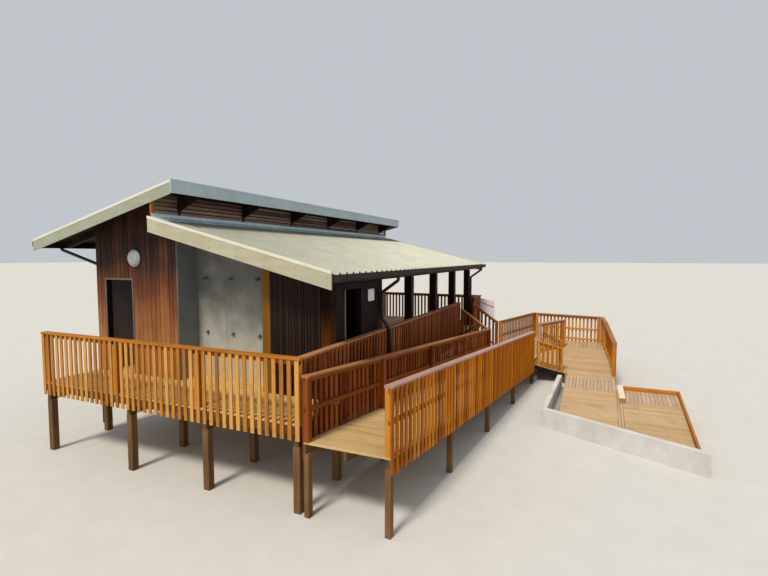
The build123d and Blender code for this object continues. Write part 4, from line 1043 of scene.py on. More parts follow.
# %% Posts with eased edges
frame_posts = []
for i in range(6):
    foot = np.array([posts_low[0], frame_near + i * bay, deck_level])
    frame_posts.append(bars(foot, foot + (beam_foot - deck_level) * Z, X, Y,
                            eased(post, post, 0.006), finish=1 if i < 2 else 0))
make_piece("frame_post_timbers", frame_posts, [post_wood, corner_wood], ["frame_posts"])

bay_post_top = lower_head(bay_post_low[0]) - rafter_depth
bay_post = bars((bay_post_low[0], frame_near, deck_level), (bay_post_low[0], frame_near, bay_post_top),
                X, Y, eased(bay_post_high[0] - bay_post_low[0], bay_post_depth, 0.005),
                end_side=X - lower_slope * Z)
make_piece("shower_bay_post_timber", [bay_post], [amber_wood], ["shower_bay_post"])

# %% [markdown]
# The shower bay is lined with fibre cement sheets. The side sheet has a darker, bluer grey
# finish than the back one, which is painted shade, and the back sheet is painted darker high up,
# which is painted shade of the overhang. Sheets are thin boards with a real joint between them,
# which shows as one dark upright line. A narrow trim covers the outer edge of the side sheet.

# %% Shower linings and the wall behind them
panel_thickness, panel_joint, back_joint = 0.012, 0.004, 0.76
linings = []
for x0, x1 in spans([main_wall_x, main_wall_x + back_joint, cheek_x - wall]):
    linings.append(bars((x0, shower_back_y, deck_level), (x0, shower_back_y, lower_head(x0)), X, -Y,
                        eased(x1 - x0 - panel_joint, panel_thickness, 0.001),
                        end_side=X - lower_slope * Z))
return_top = lower_head(main_wall_x) - rafter_depth - panel_thickness * lower_slope
linings.append(bars((main_wall_x, frame_near, deck_level), (main_wall_x, frame_near, return_top), Y, X,
                    eased(shower_back_y - panel_thickness - frame_near, panel_thickness, 0.001),
                    finish=1))
trim_width, trim_thickness = 0.03, 0.004
trim_foot = np.array([main_wall_x - trim_width, frame_near - trim_thickness, deck_level])
linings.append(bars(trim_foot, trim_foot + (return_top - deck_level) * Z, X, Y,
                    eased(trim_width + panel_thickness, trim_thickness, 0.001), finish=2))
make_piece("shower_lining_sheets", linings, [back_panel, side_panel, trim_paint],
           ["shower_panels"])

back_wall = clad_wall((main_wall_x, shower_back_y), (cheek_x - wall, shower_back_y), deck_level,
                      (lower_head(main_wall_x), lower_head(cheek_x - wall)), gable_pitch,
                      gable_gap)
make_piece("shower_back_core", back_wall, [beam_wood, beam_wood], ["shower_back_wall"])

# %% [markdown]
# Roof sheets. Trapezoid ribs stand on the flat pans every 233 mm and run down the slope. The
# height of the sheet across the slope is a ramp up, a crown, a ramp down and a pan; the sheet is
# a skin between that line and the same line one sheet thickness lower. A Solidify modifier would
# thicken it too, but the outline does it with no extra step. Because the sheet is thin, the ribs
# are open at the eave and show the dark notches that the real edge has.

# %% Ribbed sheets and their screws
near_end, far_end = sheet_low[1], sheet_high[1]
rib_pitch, rib_height, crown, foot_width, metal = 0.233, 0.034, 0.028, 0.062, 0.0012


def rib_line(y0, y1):
    """Points (y, drop below the crown) of the sheet's top face from y0 to y1."""
    count = int((y1 - y0) // rib_pitch)
    first = y0 + ((y1 - y0) - (count - 1) * rib_pitch) / 2
    middles = first + rib_pitch * np.arange(count)
    offsets = np.array([-foot_width, -crown, crown, foot_width]) / 2
    y = (middles[:, None] + offsets).ravel()
    drop = np.tile([rib_height, 0.0, 0.0, rib_height], count)
    return (np.concatenate([[y0], y, [y1]]), np.concatenate([[rib_height], drop, [rib_height]]),
            middles)


def ribbed_sheet(x0, z0, x1, z1):
    """The sheet from its edge at (x0, z0) to its edge at (x1, z1), and the middles of its ribs."""
    y, drop, middles = rib_line(near_end, far_end)
    outline = np.column_stack([np.concatenate([y, y[::-1]]),
                               -np.concatenate([drop, drop[::-1] + metal])])
    return bars((x0, 0, z0), (x1, 0, z1), Y, Z, outline, paired=True), middles


screw_profile = [(0.008, -0.001), (0.008, 0.0015), (0.0055, 0.002), (0.0055, 0.0045), (0.003, 0.006)]


def roof_screws(roof, slope, rows, middles):
    """A screw on every crown along rows that are parallel to the eave."""
    x, y = (a.ravel() for a in np.meshgrid(rows, middles))
    normal = np.array([slope, 0.0, 1.0]) / np.hypot(slope, 1)
    return turned(screw_profile, np.column_stack([x, y, roof(x)]), normal, sides=6, finish=1)


lower_eave, sheet_start = sheet_high[0], lower_top_x + 0.02
lower_sheet, rib_middles = ribbed_sheet(sheet_start, lower_roof(sheet_start),
                                        lower_eave, lower_roof(lower_eave))
lower_rows = [-3.3, -2.6, -1.9, -1.2, -0.5, 0.0, 0.16]
make_piece("lower_roof_ribbed_sheet",
           [lower_sheet, roof_screws(lower_roof, lower_slope, lower_rows, rib_middles)],
           [roof_metal, screw_metal], ["lower_roof_sheet"])
upper_eave = upper_low[0]
upper_sheet, rib_middles = ribbed_sheet(upper_high[0], upper_roof(upper_high[0]),
                                        upper_eave, upper_roof(upper_eave))
upper_rows = [-3.35, -4.1, -4.9, -5.7, -6.5, -7.15]
make_piece("upper_roof_ribbed_sheet",
           [upper_sheet, roof_screws(upper_roof, -upper_slope, upper_rows, rib_middles)],
           [roof_metal, screw_metal], ["upper_roof_sheet"])

# %% [markdown]
# Barge boards, ridge fascia and flashing are folded sheet over timber. Each is one outline
# carried along its edge, and the folds are in the outline: a drip at the foot and a lip at the
# head catch the light as thin bright lines. A Bevel on a plain box would round the edges, but
# would not make these returns.

# %% Barges
barge_lip, cap_face, barge_screw_pitch = 0.012, 0.05, 0.6
barge_screw = [(0.007, -0.001), (0.007, 0.001), (0.003, 0.0015)]
roof_near, roof_far = spot("ridge_fascia")[0][1], spot("ridge_fascia")[1][1]


def barge(x0, x1, roof, depth, outside, y0, y1):
    """A barge following a roof face: a folded face with a drip at its foot, timber behind it,
    and a brighter cap folded over its head. Outline points are (distance in from the face,
    height above the roof's top face). Two rows of screws follow the slope."""
    face, back = (y0, y1) if outside < 0 else (y1, y0)
    turn = np.sign(back - face)
    lap = barge_lip - cap_face
    cover = [(0.004, -depth + 0.012), (0.0, -depth + 0.012), (0.0, -depth), (0.016, -depth),
             (0.016, -depth + 0.003), (0.006, -depth + 0.003), (0.006, lap + 0.01),
             (0.006, barge_lip - 0.007), (barge_thickness, barge_lip - 0.007),
             (barge_thickness, -depth + 0.02), (0.018, -depth + 0.02), (0.018, -depth + 0.012)]
    cap = [(0.0, lap), (0.005, lap), (0.005, barge_lip - 0.006), (barge_thickness, barge_lip - 0.006),
           (barge_thickness, barge_lip), (0.0, barge_lip)]
    folded = [bars((x0, 0, roof(x0)), (x1, 0, roof(x1)), Y, Z,
                   [(face + turn * y, z) for y, z in outline], finish=finish)
              for outline, finish in ((cover, 0), (cap, 1))]
    x = np.arange(x0 + barge_screw_pitch / 2, x1, barge_screw_pitch)
    heads = np.concatenate([np.column_stack([x, np.full(len(x), face), roof(x) - share * depth])
                            for share in (0.35, 0.8)])
    return folded + [turned(barge_screw, heads, -turn * Y, sides=8, finish=2)]


upper_x = ridge_x - barge_thickness
for name, node, roof, depth, sheet in (
        ("lower_barge_covers", "lower_barges", lower_roof, 0.29, barge_metal),
        ("upper_barge_covers", "upper_barges", upper_roof, 0.25, high_barge_metal)):
    x0, x1 = (corner[0] for corner in spot(node))
    make_piece(name, barge(x0, x1, roof, depth, -1, roof_near, near_end)
               + barge(x0, x1, roof, depth, 1, far_end, roof_far),
               [sheet, cap_metal, nail_metal], [node])

# %% [markdown]
# The fascia closes the upper roof's high edge, and the flashing covers the lower roof's head where
# it meets the long room's wall. Both are made of lengths with joints of 3 mm between them, because
# no folding machine takes a sheet as long as the roof.

# %% Ridge fascia and flashing
fascia_low, fascia_high = spot("ridge_fascia")
foot, head, sheet_joint = fascia_low[2], fascia_high[2], 0.003
fascia_outline = [(upper_x, foot + 0.02), (upper_x + 0.008, foot), (ridge_x, foot),
                  (ridge_x, foot + 0.014), (ridge_x - 0.005, foot + 0.018),
                  (ridge_x - 0.005, head - 0.045), (ridge_x, head - 0.04), (ridge_x, head),
                  (upper_x, head)]
make_piece("ridge_fascia_cover",
           [along_ridge(fascia_outline, y0, y1 - sheet_joint)
            for y0, y1 in spans(np.linspace(roof_near, roof_far, 5))],
           [ridge_metal], ["ridge_fascia"])

flashing_high = spot("apron_flashing")[1]
leg_x, flashing_thickness, over_ribs, upturn = flashing_high[0], 0.003, 0.004, 0.008
lip_x, fold_x = leg_x - 0.012, lower_top_x + 0.05
flashing_outline = [
    (lower_top_x, lower_roof(lower_top_x)), (lip_x, lower_roof(lip_x) + over_ribs),
    (leg_x, lower_roof(leg_x) - 0.006), (leg_x, lower_roof(leg_x) + 0.004),
    (lip_x, lower_roof(lip_x) + over_ribs + flashing_thickness),
    (fold_x, lower_roof(fold_x) + over_ribs + flashing_thickness),
    (lower_top_x + upturn, lower_roof(lower_top_x) + 0.02),
    (lower_top_x + upturn, flashing_high[2]), (lower_top_x, flashing_high[2])]
make_piece("apron_flashing_cover",
           [along_ridge(flashing_outline, y0, y1 - sheet_joint)
            for y0, y1 in spans(np.linspace(near_end, far_end, 6))],
           [flashing_metal], ["apron_flashing"])

# %% [markdown]
# Between the two roofs a band of louvres lets air through. The slats stand one over the other in
# each bay between two studs. One outline serves them all; its foot is turned out so that rain
# drips clear of the slat below.

# %% Louvre slats between the studs
slats_low, slats_high = spot("clerestory_louvres")
stud_width, slat_count = 0.07, 5
upper_rafter_rows = [frame_near + i * bay + (post - stud_width) / 2 for i in range(6)]
upper_rafter_rows[0], upper_rafter_rows[5] = frame_near + wall, frame_far - wall - stud_width
studs = np.array([near_end, *upper_rafter_rows, far_end - stud_width])
slat_gap = 0.018
slat_pitch = (slats_high[2] - slats_low[2] + slat_gap) / slat_count
slats = []
slat_outline = np.array([(0.0, 0.012), (0.008, 0.0), (0.022, 0.0), (0.022, 0.01),
                         (0.012, slat_pitch - slat_gap), (0.0, slat_pitch - slat_gap)])
for y0, y1 in np.array(spans(studs)) + (stud_width, 0.0):
    slat_foot = slats_low[2] + slat_pitch * np.arange(slat_count)
    starts = np.column_stack([np.full(slat_count, slats_low[0]), np.full(slat_count, y0), slat_foot])
    slats.append(bars(starts, starts + (y1 - y0) * Y, X, Z, slat_outline))
make_piece("louvre_slat_boards", slats, [louvre_wood], ["clerestory_louvres"])

# %% [markdown]
# Tapered brackets carry the ridge overhang, one under each rafter, deep at the louvres and shallow
# at the fascia. A cube with its corners moved would do for one; here one four-cornered outline is
# carried a stud's width along the ridge at all six places.

# %% Brackets under the ridge overhang
bracket_root, bracket_tip = 0.17, 0.045
bracket_top = [(x, upper_roof(x) - roof_drop - rafter_depth) for x in (slats_high[0], upper_x)]
bracket = bracket_top[::-1] + [(slats_high[0], bracket_top[0][1] - bracket_root),
                               (upper_x, bracket_top[1][1] - bracket_tip)]
bracket_feet = np.array([(0.0, y, 0.0) for y in upper_rafter_rows])
brackets = [bars(bracket_feet, bracket_feet + stud_width * Y, X, Z, bracket)]
make_piece("ridge_brackets", brackets, [bracket_wood])

# %% [markdown]
# Gutters are sheet bent to a channel, open at the top, with a rolled front lip, end plates and
# straps across. The outline goes round the outside and comes back inside, one thickness in, so a
# plain carry along the eave makes a hollow gutter.

# %% Gutters
gutter_depth, gutter_back, gutter_thickness, gutter_lip = 0.1, 0.035, 0.003, 0.014
bottom_share, front_share = 0.86, 0.72
end_plate, strap_width, strap_thickness, strap_pitch, under_sheet = 0.004, 0.025, 0.004, 0.9, 0.004


def gutter(back_x, front_x, top):
    """A half-box gutter from its back edge to its front edge. Its points are (distance out from
    the back, height from the top)."""
    out, depth, lip = np.sign(front_x - back_x), gutter_depth, gutter_lip
    w, t = abs(front_x - back_x), gutter_thickness
    toe, fold = w * bottom_share, -depth * front_share
    shape_points = [(0, 0), (0, -depth), (toe, -depth), (w, fold), (w, 0), (w - lip, 0),
                    (w - lip, -lip), (w - lip + t, -lip), (w - lip + t, -t), (w - t, -t),
                    (w - t, fold + t / 2), (toe - t / 2, -depth + t), (t, -depth + t), (t, 0)]
    outline = [(back_x + out * x, top + z) for x, z in shape_points]
    plate = [(back_x + out * x, top + z) for x, z in shape_points[:5]]
    shapes = [along_ridge(outline, near_end + end_plate, far_end - end_plate, paired=True)]
    shapes += [along_ridge(plate, y, y + end_plate) for y in (near_end, far_end - end_plate)]
    places = np.arange(near_end + strap_pitch / 2, far_end, strap_pitch)
    strap = np.array([(0, -strap_thickness), (w - lip, -strap_thickness), (w - lip, 0.0),
                      (0, 0.0)]) * (out, 1)
    base = np.column_stack([np.full(len(places), back_x), places, np.full(len(places), top)])
    shapes.append(bars(base, base + strap_width * Y, X, Z, strap))
    return shapes


gutters_low, gutters_high = spot("gutters")
lower_back = lower_eave - gutter_back
upper_back = upper_eave + gutter_back
upper_gutter_top = upper_roof(upper_eave) - sheet_rise - under_sheet
lower_gutter_top = lower_roof(lower_eave) - sheet_rise - under_sheet
make_piece("gutter_channels",
           gutter(lower_back, gutters_high[0], lower_gutter_top)
           + gutter(upper_back, gutters_low[0], upper_gutter_top),
           [gutter_metal], ["gutters"])

# %% [markdown]
# Downpipes. The route is straight runs with round bends. A bevelled curve would follow it too,
# but its bends would have to be fitted with handles. Here each bend is an arc of equal steps, and
# a ring of points is carried along with its plane always square to the run.

# %% A pipe along a bent route
pipe_radius, pipe_gap, pipe_bend, collar_proud = 0.038, 0.012, 0.06, 0.0035


def bent_route(points, radius, steps=8):
    """Points along straight runs with an arc of that radius at each inner point. The arc starts
    and ends radius * tan(half the turn) from the corner and is swept by equal angles."""
    points = np.array(points, float)
    route = [points[:1]]
    for before, here, after in zip(points[:-2], points[1:-1], points[2:]):
        inward = (before - here) / np.linalg.norm(before - here)
        onward = (after - here) / np.linalg.norm(after - here)
        turn = np.pi - np.arccos(np.clip(inward @ onward, -1, 1))
        middle = here + (inward + onward) / np.linalg.norm(inward + onward) * (
            radius / np.cos(turn / 2))
        spoke = here + inward * radius * np.tan(turn / 2) - middle
        other = here + onward * radius * np.tan(turn / 2) - middle
        share = np.linspace(0, 1, steps)[:, None]
        route.append(middle + (np.sin((1 - share) * turn) * spoke + np.sin(share * turn) * other)
                     / np.sin(turn))
    route.append(points[-1:])
    return np.concatenate(route)


def tube(route, radius, across, sides=20, **look):
    """A round tube along a flat route; across is the direction square to the route's plane."""
    ahead = np.gradient(route, axis=0)
    ahead = ahead / np.linalg.norm(ahead, axis=1, keepdims=True)
    second = np.cross(ahead, across)
    angle = 2 * np.pi * np.arange(sides) / sides
    ring = (np.cos(angle)[:, None] * np.array(across, float)
            + np.sin(angle)[:, None] * second[:, None])
    if np.dot(np.cross(ring[0, 0], ring[0, 1]), ahead[0]) < 0:
        ring = ring[:, ::-1]
    return skin((route[:, None] + radius * ring)[None], smooth=True, **look)


# %% [markdown]
# Three pipes. The two under the lower eave reach back to a post; the near one then steps out round
# the balustrade's cap and goes on down. The left one hangs beside the deck. Collars mark the
# joints, and flat clips hold each pipe to what is behind it.

# %% Downpipes with collars and clips
collar = [(0.0385, 0.0), (0.0415, 0.002), (0.0415, 0.038), (0.0385, 0.04)]
clip_width, clip_height = 0.06, 0.02


def downpipe(route_xz, y, collars, clips):
    """A pipe at one Y: tube, collars at (x, height) and clips at (x, height, reach)."""
    points = [(x, y, z) for x, z in route_xz]
    shapes = [tube(bent_route(points, pipe_bend), pipe_radius - collar_proud, Y)]
    shapes += [turned(collar, [(x, y, z)], Z, 20, smooth=True) for x, z in collars]
    for x, z, reach in clips:
        base = np.array([x, y - clip_width / 2, z])
        shapes.append(bars(base, base + clip_width * Y, X * np.sign(reach), Z,
                           eased(abs(reach), clip_height, 0.002)))
    return shapes


lower_outlet = ((lower_back + gutters_high[0]) / 2, lower_gutter_top - gutter_depth)
upper_outlet = ((upper_back + gutters_low[0]) / 2, upper_gutter_top - gutter_depth)
post_pipe_x = right_face + pipe_radius + pipe_gap
outer_pipe_x = edge_cap + pipe_radius + pipe_gap
left_pipe_x = deck_low[0] - pipe_radius - pipe_gap
kink_z, pipe_foot, pipe_drop, neck_fall = deck_level + rail_height + pipe_radius, 0.15, 0.09, 0.26
near_route = [lower_outlet, (lower_outlet[0], lower_outlet[1] - pipe_drop),
              (post_pipe_x, lower_outlet[1] - pipe_drop - neck_fall), (post_pipe_x, kink_z + 0.16),
              (outer_pipe_x, kink_z - 0.08), (outer_pipe_x, pipe_foot)]
far_route = near_route[:3] + [(post_pipe_x, deck_level)]
left_neck, left_drop = (left_pipe_x - upper_outlet[0]) * np.tan(np.radians(15)), 0.066
post_clip = 0.02
left_route = [upper_outlet, (upper_outlet[0], upper_outlet[1] - left_drop),
              (left_pipe_x, upper_outlet[1] - left_drop - left_neck), (left_pipe_x, pipe_foot)]
far_pipe_y = stair_far + post / 2
pipes = downpipe(near_route, near_pipe_y, [(post_pipe_x, 2.75), (outer_pipe_x, 1.6)],
                 [(right_face, 2.9, post_clip), (0.0, 1.3, outer_pipe_x - pipe_radius)])
pipes += downpipe(far_route, far_pipe_y, [(post_pipe_x, 2.75), (post_pipe_x, 1.7)],
                  [(right_face, 2.9, post_clip), (right_face, 1.9, post_clip)])
pipes += downpipe(left_route, frame_near + post / 2, [(left_pipe_x, 2.7), (left_pipe_x, 1.0)],
                  [(left_face, 2.6, left_pipe_x + pipe_radius - left_face)])
make_piece("downpipe_lengths", pipes, [pipe_metal], ["downpipes"])

# %% [markdown]
# Concrete kerb. A cast kerb has a rounded arris, so the plan outline is lifted as four rings: the
# foot, just under the top, a step inwards, and the top drawn in by the whole arris. Each corner is
# moved along the mitre of its two sides, which keeps the arris one width round every corner. A
# Bevel modifier could round it, but would round the hidden edges at the ground as well.

# %% Kerb and the channel inside it
def drawn_in(corners, inset):
    """A polygon, anticlockwise, with every side moved inwards by inset: each corner moves by
    inset * (n + m) / (1 + n . m), where n and m are its two sides' inward directions."""
    corners = np.array(corners, float)
    ahead = np.roll(corners, -1, axis=0) - corners
    ahead = ahead / np.linalg.norm(ahead, axis=1, keepdims=True)
    inner = np.column_stack([-ahead[:, 1], ahead[:, 0]])
    before = np.roll(inner, 1, axis=0)
    return corners + inset * (inner + before) / (1 + (inner * before).sum(axis=1))[:, None]


def cast(corners, foot, head, arris, **look):
    """A cast block over a plan polygon with a two-step rounded arris."""
    corners = np.array(corners, float)
    x, y = corners.T
    if (x * np.roll(y, -1) - y * np.roll(x, -1)).sum() < 0:
        corners = corners[::-1]
    levels = [(0.0, foot), (0.0, head - arris), (arris * 0.3, head - arris * 0.3), (arris, head)]
    rings = [np.column_stack([drawn_in(corners, inset), np.full(len(corners), z)])
             for inset, z in levels]
    return skin([rings], **look)


kerb_height = spot("concrete_kerb")[1][2]
kerb_shape = [kerb_start, kerb_corner, kerb_end, (kerb_end[0], kerb_front_y(kerb_end[0])),
              inner_corner, (kerb_start[0] + kerb_width, kerb_start[1])]
channel_far = (walk_left - edge_gap, kerb_start[1])
channel_shape = [(kerb_start[0] + kerb_width, kerb_start[1]), inner_corner,
                 meets_kerb(channel_far, 0.0), channel_far]
make_piece("kerb_castings", [cast(kerb_shape, 0.0, kerb_height, 0.012),
                             cast(channel_shape, 0.0, 0.06, 0.002, finish=1)],
           [concrete, worn_concrete], ["concrete_kerb"])

# %% [markdown]
# Each stair tread is two planks with a gap for rain. They are thicker than the deck's boards,
# because nothing holds them between the strings. An Array modifier could step them down too; a
# short loop says more plainly that five rises need four treads, as the landing is the last step.

# %% Stair treads
tread, tread_gap, tread_y0, tread_y1 = 0.04, 0.006, stair_near + rail_post, stair_far - rail_post
treads = []
for i in range(1, 5):
    x0, x1 = (i - 1) * going + tread_gap, i * going
    half = (x1 - x0 - board_gap) / 2
    starts = np.array([(x0, tread_y0, 0), (x0 + half + board_gap, tread_y0, 0)])
    starts[:, 2] = deck_level - i * riser - tread
    treads.append(bars(starts, starts + (tread_y1 - tread_y0) * Y, X, Z, eased(half, tread, 0.004)))
make_piece("stair_tread_boards", treads, [deck_wood], ["stair_treads"])

# %% [markdown]
# The side walk has an upright plank along its far end and its right edge. The right one runs down
# with the walk, so its head is cut to the slope while its ends stay upright. Turning a box to the
# slope would tip its ends as well, so the section is leant instead.

# %% Upright planks of the side walk
def walk_plank(near, far, high, width):
    """An upright plank on edge from near to far in plan, high above the walk's top face."""
    near, far = np.array([*near, 0.0]), np.array([*far, 0.0])
    length = np.linalg.norm(far - near)
    along = (far - near) / length
    tops = [float(walk_level(*end[:2])) + high for end in (near, far)]
    return bars(near, near + tops[0] * Z, along, np.cross(along, Z),
                eased(length, width, post_ease), end_side=along + (tops[1] - tops[0]) / length * Z)


upstand, upstand_rise = 0.045, 0.11
beam_start, beam_width, beam_length = second_left + (1.444, -2.48), 0.14, 1.18
far_level = float(walk_level(side_right, side_far)) + upstand_rise
edges = [bars((beam_start[0] + beam_width + edge_gap, side_far, 0),
              (side_right + upstand, side_far, 0), Y, Z, eased(upstand, far_level, post_ease)),
         walk_plank(meets_kerb(side_far_right, side_lean), side_far_right, upstand_rise, upstand)]
make_piece("side_walk_edge_boards", edges, [honey_wood], ["side_walk_upstands"])

# %% [markdown]
# Two narrow strips part the halves of the walk, and a short pale beam lies on them. Its near end
# is sawn and pinker, so the beam is a thin slice in one finish and the rest in another. A short
# stub stands at the walk's left edge.

# %% Edge strips, pale beam and stub
strip_run = np.array([walk_lean, 1.0]) / np.hypot(walk_lean, 1.0)
loose = []
for i in range(2):
    x0 = edge_x + edge_gap + i * (edge_width + edge_gap)
    ends = [np.array(meets_kerb((x, side_far), walk_lean)) for x in (x0, x0 + edge_width)]
    loose.append(floor_boards([ends[0], ends[1], (x0 + edge_width, side_far), (x0, side_far)],
                              strip_run, edge_width, 0.001, board, walk_level, finish=3 * i))
end_grain, beam_height, stub_side, stub_rise = 0.004, 0.115, 0.045, 0.18
beam_ends = [np.array([beam_start[0], y, float(walk_level(0.0, y)) + slope_gap])
             for y in beam_start[1] + np.array([0.0, end_grain, beam_length])]
for (beam_from, beam_to), made in zip(spans(beam_ends), (1, 2)):
    loose.append(bars(beam_from, beam_to, X, Z,
                      eased(beam_width, beam_height - slope_gap, 0.006), finish=made))
stub = np.array([walk_left - stub_side, walk_far - 0.45, 0.0])
loose.append(bars(stub, stub + (float(walk_level(0.0, stub[1])) + stub_rise) * Z, X, Y,
                  eased(stub_side, stub_side, 0.003), finish=0))
make_piece("walk_edge_strips", loose, [walk_wood, weathered_wood, pale_wood, band_wood],
           ["walk_edge_timbers"])

# %% [markdown]
# The doorways have no leaf. What shows is the lining through the thickness of the wall. At the
# gable a painted bead in front of it draws the doorway's grey outline. At the side doorway only
# the near lining has the grey trim finish; the far lining and the head take the dark boards'
# finish, which is painted shade from the eave.

# %% Door linings
frame_board, frame_lip, frame_ease = 0.04, 0.012, 0.003
lining_head, side_lining_head = door_head - frame_board, side_door_head - frame_board
door_frames = []
for (y0, y1), made in zip(spans([frame_near - frame_lip, frame_near, frame_near + wall]), (1, 0)):
    for x in (door_x0, door_x1 - frame_board):
        door_frames.append(bars((x, y0, deck_level), (x, y0, lining_head), X, Y,
                                eased(frame_board, y1 - y0, frame_ease), finish=made))
    door_frames.append(bars((door_x0, y0, lining_head), (door_x1, y0, lining_head), Y, Z,
                            eased(y1 - y0, frame_board, frame_ease), finish=made))
lining_x0, lining_depth = right_face - wall, wall + frame_lip
# The far lining and the head take the dark boards' finish: painted shade from the eave.
for y, made in ((side_door_y0, 1), (side_door_y1 - frame_board, 0)):
    door_frames.append(bars((lining_x0, y, deck_level), (lining_x0, y, side_lining_head), X, Y,
                            eased(lining_depth, frame_board, frame_ease), finish=made))
door_frames.append(bars((lining_x0, side_door_y0, side_lining_head),
                        (lining_x0, side_door_y1, side_lining_head), X, Z,
                        eased(lining_depth, frame_board, frame_ease), finish=0))
make_piece("door_linings", door_frames, [dark_wood, trim_paint], ["doorway_frames"])

# %% [markdown]
# The round light by the doorway: a white ring on the boards, a shallow frosted dome and one small
# knob. A squashed sphere would do for the dome, but turning it from a quarter of an ellipse gives
# it an edge that meets the ring.

# %% Round light
light_centre = np.array([left_face + 1.19, frame_near, deck_level + 2.45])
dome_radius, dome_rise, dome_foot = 0.168, 0.048, 0.02
dome_angle = np.radians(np.linspace(0, 86, 12))
dome = [(dome_radius * np.cos(a), dome_foot + dome_rise * np.sin(a)) for a in dome_angle]
base_ring = [(0.16, 0.0), (0.175, 0.0), (0.175, 0.018), (0.172, 0.022), (dome_radius, 0.022)]
knob = [(0.012, 0.05), (0.012, 0.058), (0.006, 0.061)]
light = [turned(base_ring, [light_centre], -Y, 48, smooth=True, finish=1),
         turned(dome, [light_centre], -Y, 48, smooth=True, finish=0),
         turned(knob, [light_centre + (0.07, 0, -0.07)], -Y, 12, finish=2)]
make_piece("round_light_cover", light, [cover, white_paint, trim_paint], ["round_light"])

# %% [markdown]
# Three showers on the back sheet. Each has a flange, a short arm with a head that looks down, and
# a push valve lower on the wall. One profile is turned at three places, so they match as bought
# fittings do.

# %% Shower heads and push valves
lining_face = shower_back_y - panel_thickness
columns = main_wall_x + 0.27 + 0.665 * np.arange(3)
arm_radius = 0.011
head_z, valve_z, reach = deck_level + 2.05, deck_level + 0.925, 0.095
flange = [(0.03, 0.0), (0.03, 0.004), (0.014, 0.007), (0.012, 0.02)]
head = [(0.012, 0.0), (0.014, -0.008), (0.034, -0.022), (0.036, -0.027), (0.034, -0.03), (0.02, -0.03)]
valve = [(0.042, 0.0), (0.042, 0.006), (0.03, 0.012), (0.026, 0.03), (0.024, 0.042), (0.018, 0.045)]
heads_at = np.column_stack([columns, np.full(3, lining_face), np.full(3, head_z)])
valves_at = np.column_stack([columns, np.full(3, lining_face), np.full(3, valve_z)])
showers = [turned(flange, heads_at, -Y, 24, smooth=True),
           turned([(arm_radius, 0.0), (arm_radius, reach)], heads_at, -Y, 16, smooth=True),
           turned(head[::-1], heads_at - reach * Y, Z, 24, smooth=True),
           turned(valve, valves_at, -Y, 24, smooth=True)]
make_piece("shower_heads_and_valves", showers, [steel], ["shower_fittings"])

# %% [markdown]
# Two bare plates: a notice with rounded corners and four screws, and the board by the stair. The
# board's foot follows the stair's rail and its head slopes less, so it is made of three bands
# whose lower and upper edges share out the difference. The thin middle band is painted red.

# %% Notice plate and sign board, both bare
notice_low, notice_high = spot("notice_plate")
plate_round, screw_inset, screw_proud = 0.012, 0.02, 0.002
notice_x1 = notice_high[0] - screw_proud
plate_screw = [(0.006, 0.0), (0.006, 0.0015), (0.003, 0.0025)]
notice = [bars(notice_low, notice_low + (notice_x1 - notice_low[0]) * X, Y, Z,
               eased(notice_high[1] - notice_low[1], notice_high[2] - notice_low[2], plate_round))]
screws_at = [(notice_x1 - 0.001, y, z)
             for y in (notice_low[1] + screw_inset, notice_high[1] - screw_inset)
             for z in (notice_low[2] + screw_inset, notice_high[2] - screw_inset)]
notice.append(turned(plate_screw, screws_at, X, 10, finish=1))
make_piece("notice_plate_sheet", notice, [white_paint, screw_metal], ["notice_plate"])

sign_low, sign_high = spot("sign_board")
sign_x0, sign_x1, sign_fall, sign_rise = sign_low[0], sign_high[0], 0.09, riser / going
sign_y, sign_top = sign_high[1], sign_high[2]
sign_foot = landing_level + rail_height + (stair_run - sign_x0) * sign_rise - 0.06
sign_width = sign_x1 - sign_x0
tops = np.array([sign_top, sign_top - sign_fall])
feet = np.array([sign_foot, sign_foot - sign_rise * sign_width])
bands = [(0.0, 0.62, 0), (0.62, 0.69, 1), (0.69, 1.0, 0)]
sign = []
for low_share, high_share, band in bands:
    low, high = feet + (tops - feet) * low_share, feet + (tops - feet) * high_share
    sign.append(bars((sign_x0, sign_y, low[0]), (sign_x0, sign_y, high[0]), X, -Y,
                     eased(sign_width, sign_high[1] - sign_low[1], 0.002),
                     end_side=X + (high[1] - high[0]) / sign_width * Z, finish=band))
    sign[-1]["points"][:8, 2] += (sign[-1]["points"][:8, 0] - sign_x0) * (low[1] - low[0]) / sign_width
make_piece("sign_board_bands", sign, [white_paint, red_paint], ["sign_board"])

# %% [markdown]
# Timbers that are hidden, or plain as modelled, keep their CAD shape and only get a finish: new
# meshes would show nothing more. The near stud of the louvre band is newer timber than the rest,
# so the faces at the near end of that node take a second finish.

# %% Finishes of the CAD nodes that stay
finish_of = {
    "deck_feet": foot_wood, "deck_frame": under_wood, "ramp_feet": foot_wood,
    "ramp_beams": under_wood, "landing_frame": under_wood, "walk_bearers": under_wood,
    "stair_strings": rafter_wood, "lower_roof_frame": rafter_wood,
    "upper_roof_frame": rafter_wood, "clerestory_frame": beam_wood, "eave_boards": beam_wood,
    "eave_beam": beam_wood}
for node, made in finish_of.items():
    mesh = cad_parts[node].data
    mesh.materials.clear()
    mesh.materials.append(made)
studs_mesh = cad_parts["clerestory_frame"].data
studs_mesh.materials.append(new_stud_wood)
near_stud = deck_corner[1] + near_end + stud_width + 0.001
faces = [f for f in studs_mesh.polygons
         if all(studs_mesh.vertices[v].co.y < near_stud for v in f.vertices)]
for face in faces:
    face.material_index = 1
print("faces of the newer stud", len(faces))
shown = [n for n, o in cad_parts.items() if not o.hide_render]
print("CAD nodes shown", sorted(shown))

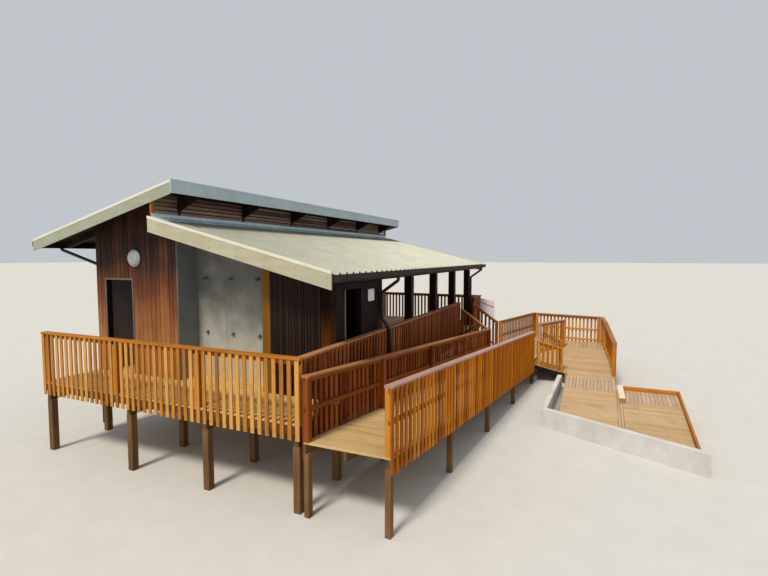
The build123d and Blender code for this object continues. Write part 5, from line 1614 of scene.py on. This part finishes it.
# %% [markdown]
# The floor is plain and pale, and the light is soft. A broad key from the front, a little to the
# left and high up, throws the soft shade that the overhangs cast on the gables, and a pale
# surround fills it. Area lights would be softer still, but they would light the near end of so
# long a building more than the far end. The floor is wide enough to have no edge in any view.

# %% Floor and light
floor_reach, floor_level = 300.0, -0.002
floor_corners = [(x, y, floor_level) for x in (-floor_reach, floor_reach)
                 for y in (-floor_reach, floor_reach)]
floor_mesh = bpy.data.meshes.new("studio_floor")
floor_mesh.from_pydata(floor_corners, [], [(0, 2, 3, 1)])
floor = bpy.data.objects.new("studio_floor", floor_mesh)
bpy.context.scene.collection.objects.link(floor)
floor_mesh.materials.append(
    mineral("studio_floor_paint", (206, 204, 198), (198, 196, 190), 40.0, 0.0))
floor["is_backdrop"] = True

world = bpy.data.worlds.new("soft_surround")
bpy.context.scene.world = world
world.use_nodes = True
world.node_tree.nodes["Background"].inputs["Color"].default_value = colour(226, 232, 238)
world.node_tree.nodes["Background"].inputs["Strength"].default_value = 0.7

key = bpy.data.objects.new("key_light", bpy.data.lights.new("key_light", "SUN"))
key.data.energy, key.data.angle = 2.9, np.radians(12)
key.data.color = colour(255, 246, 232)[:3]
key.rotation_euler = (np.radians(36.0), 0.0, np.radians(-8))
bpy.context.scene.collection.objects.link(key)
print("floor", 2 * floor_reach, "m wide; key light", key.data.energy)

# %% [markdown]
# The camera stands where the photograph was taken from. The place was worked out from the lines
# of the building that run to its two vanishing points, not found by moving the camera about until
# it looked right. It looks a little down, and to the left of the building's length. The plain
# view transform keeps the paint chart's colours as they are.

# %% Camera
look_down, look_left = 0.0675, 0.4153
camera = bpy.data.objects.new("camera", bpy.data.cameras.new("camera"))
camera.data.lens, camera.data.sensor_width = 22.09, 36.0
camera.location = (3.984, -5.831, 3.894)
camera.rotation_euler = (np.pi / 2 - look_down, 0.0, look_left)
bpy.context.scene.collection.objects.link(camera)
bpy.context.scene.camera = camera
bpy.context.scene.view_settings.view_transform = "Standard"
print("camera", tuple(camera.location))

# %% [markdown]
# Last, the box of the dressed model is printed, since a finish must not make the object any
# bigger.

# %% Size of the dressed model
low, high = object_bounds()
print("visual box", [round(v, 3) for v in (*low, *high)])
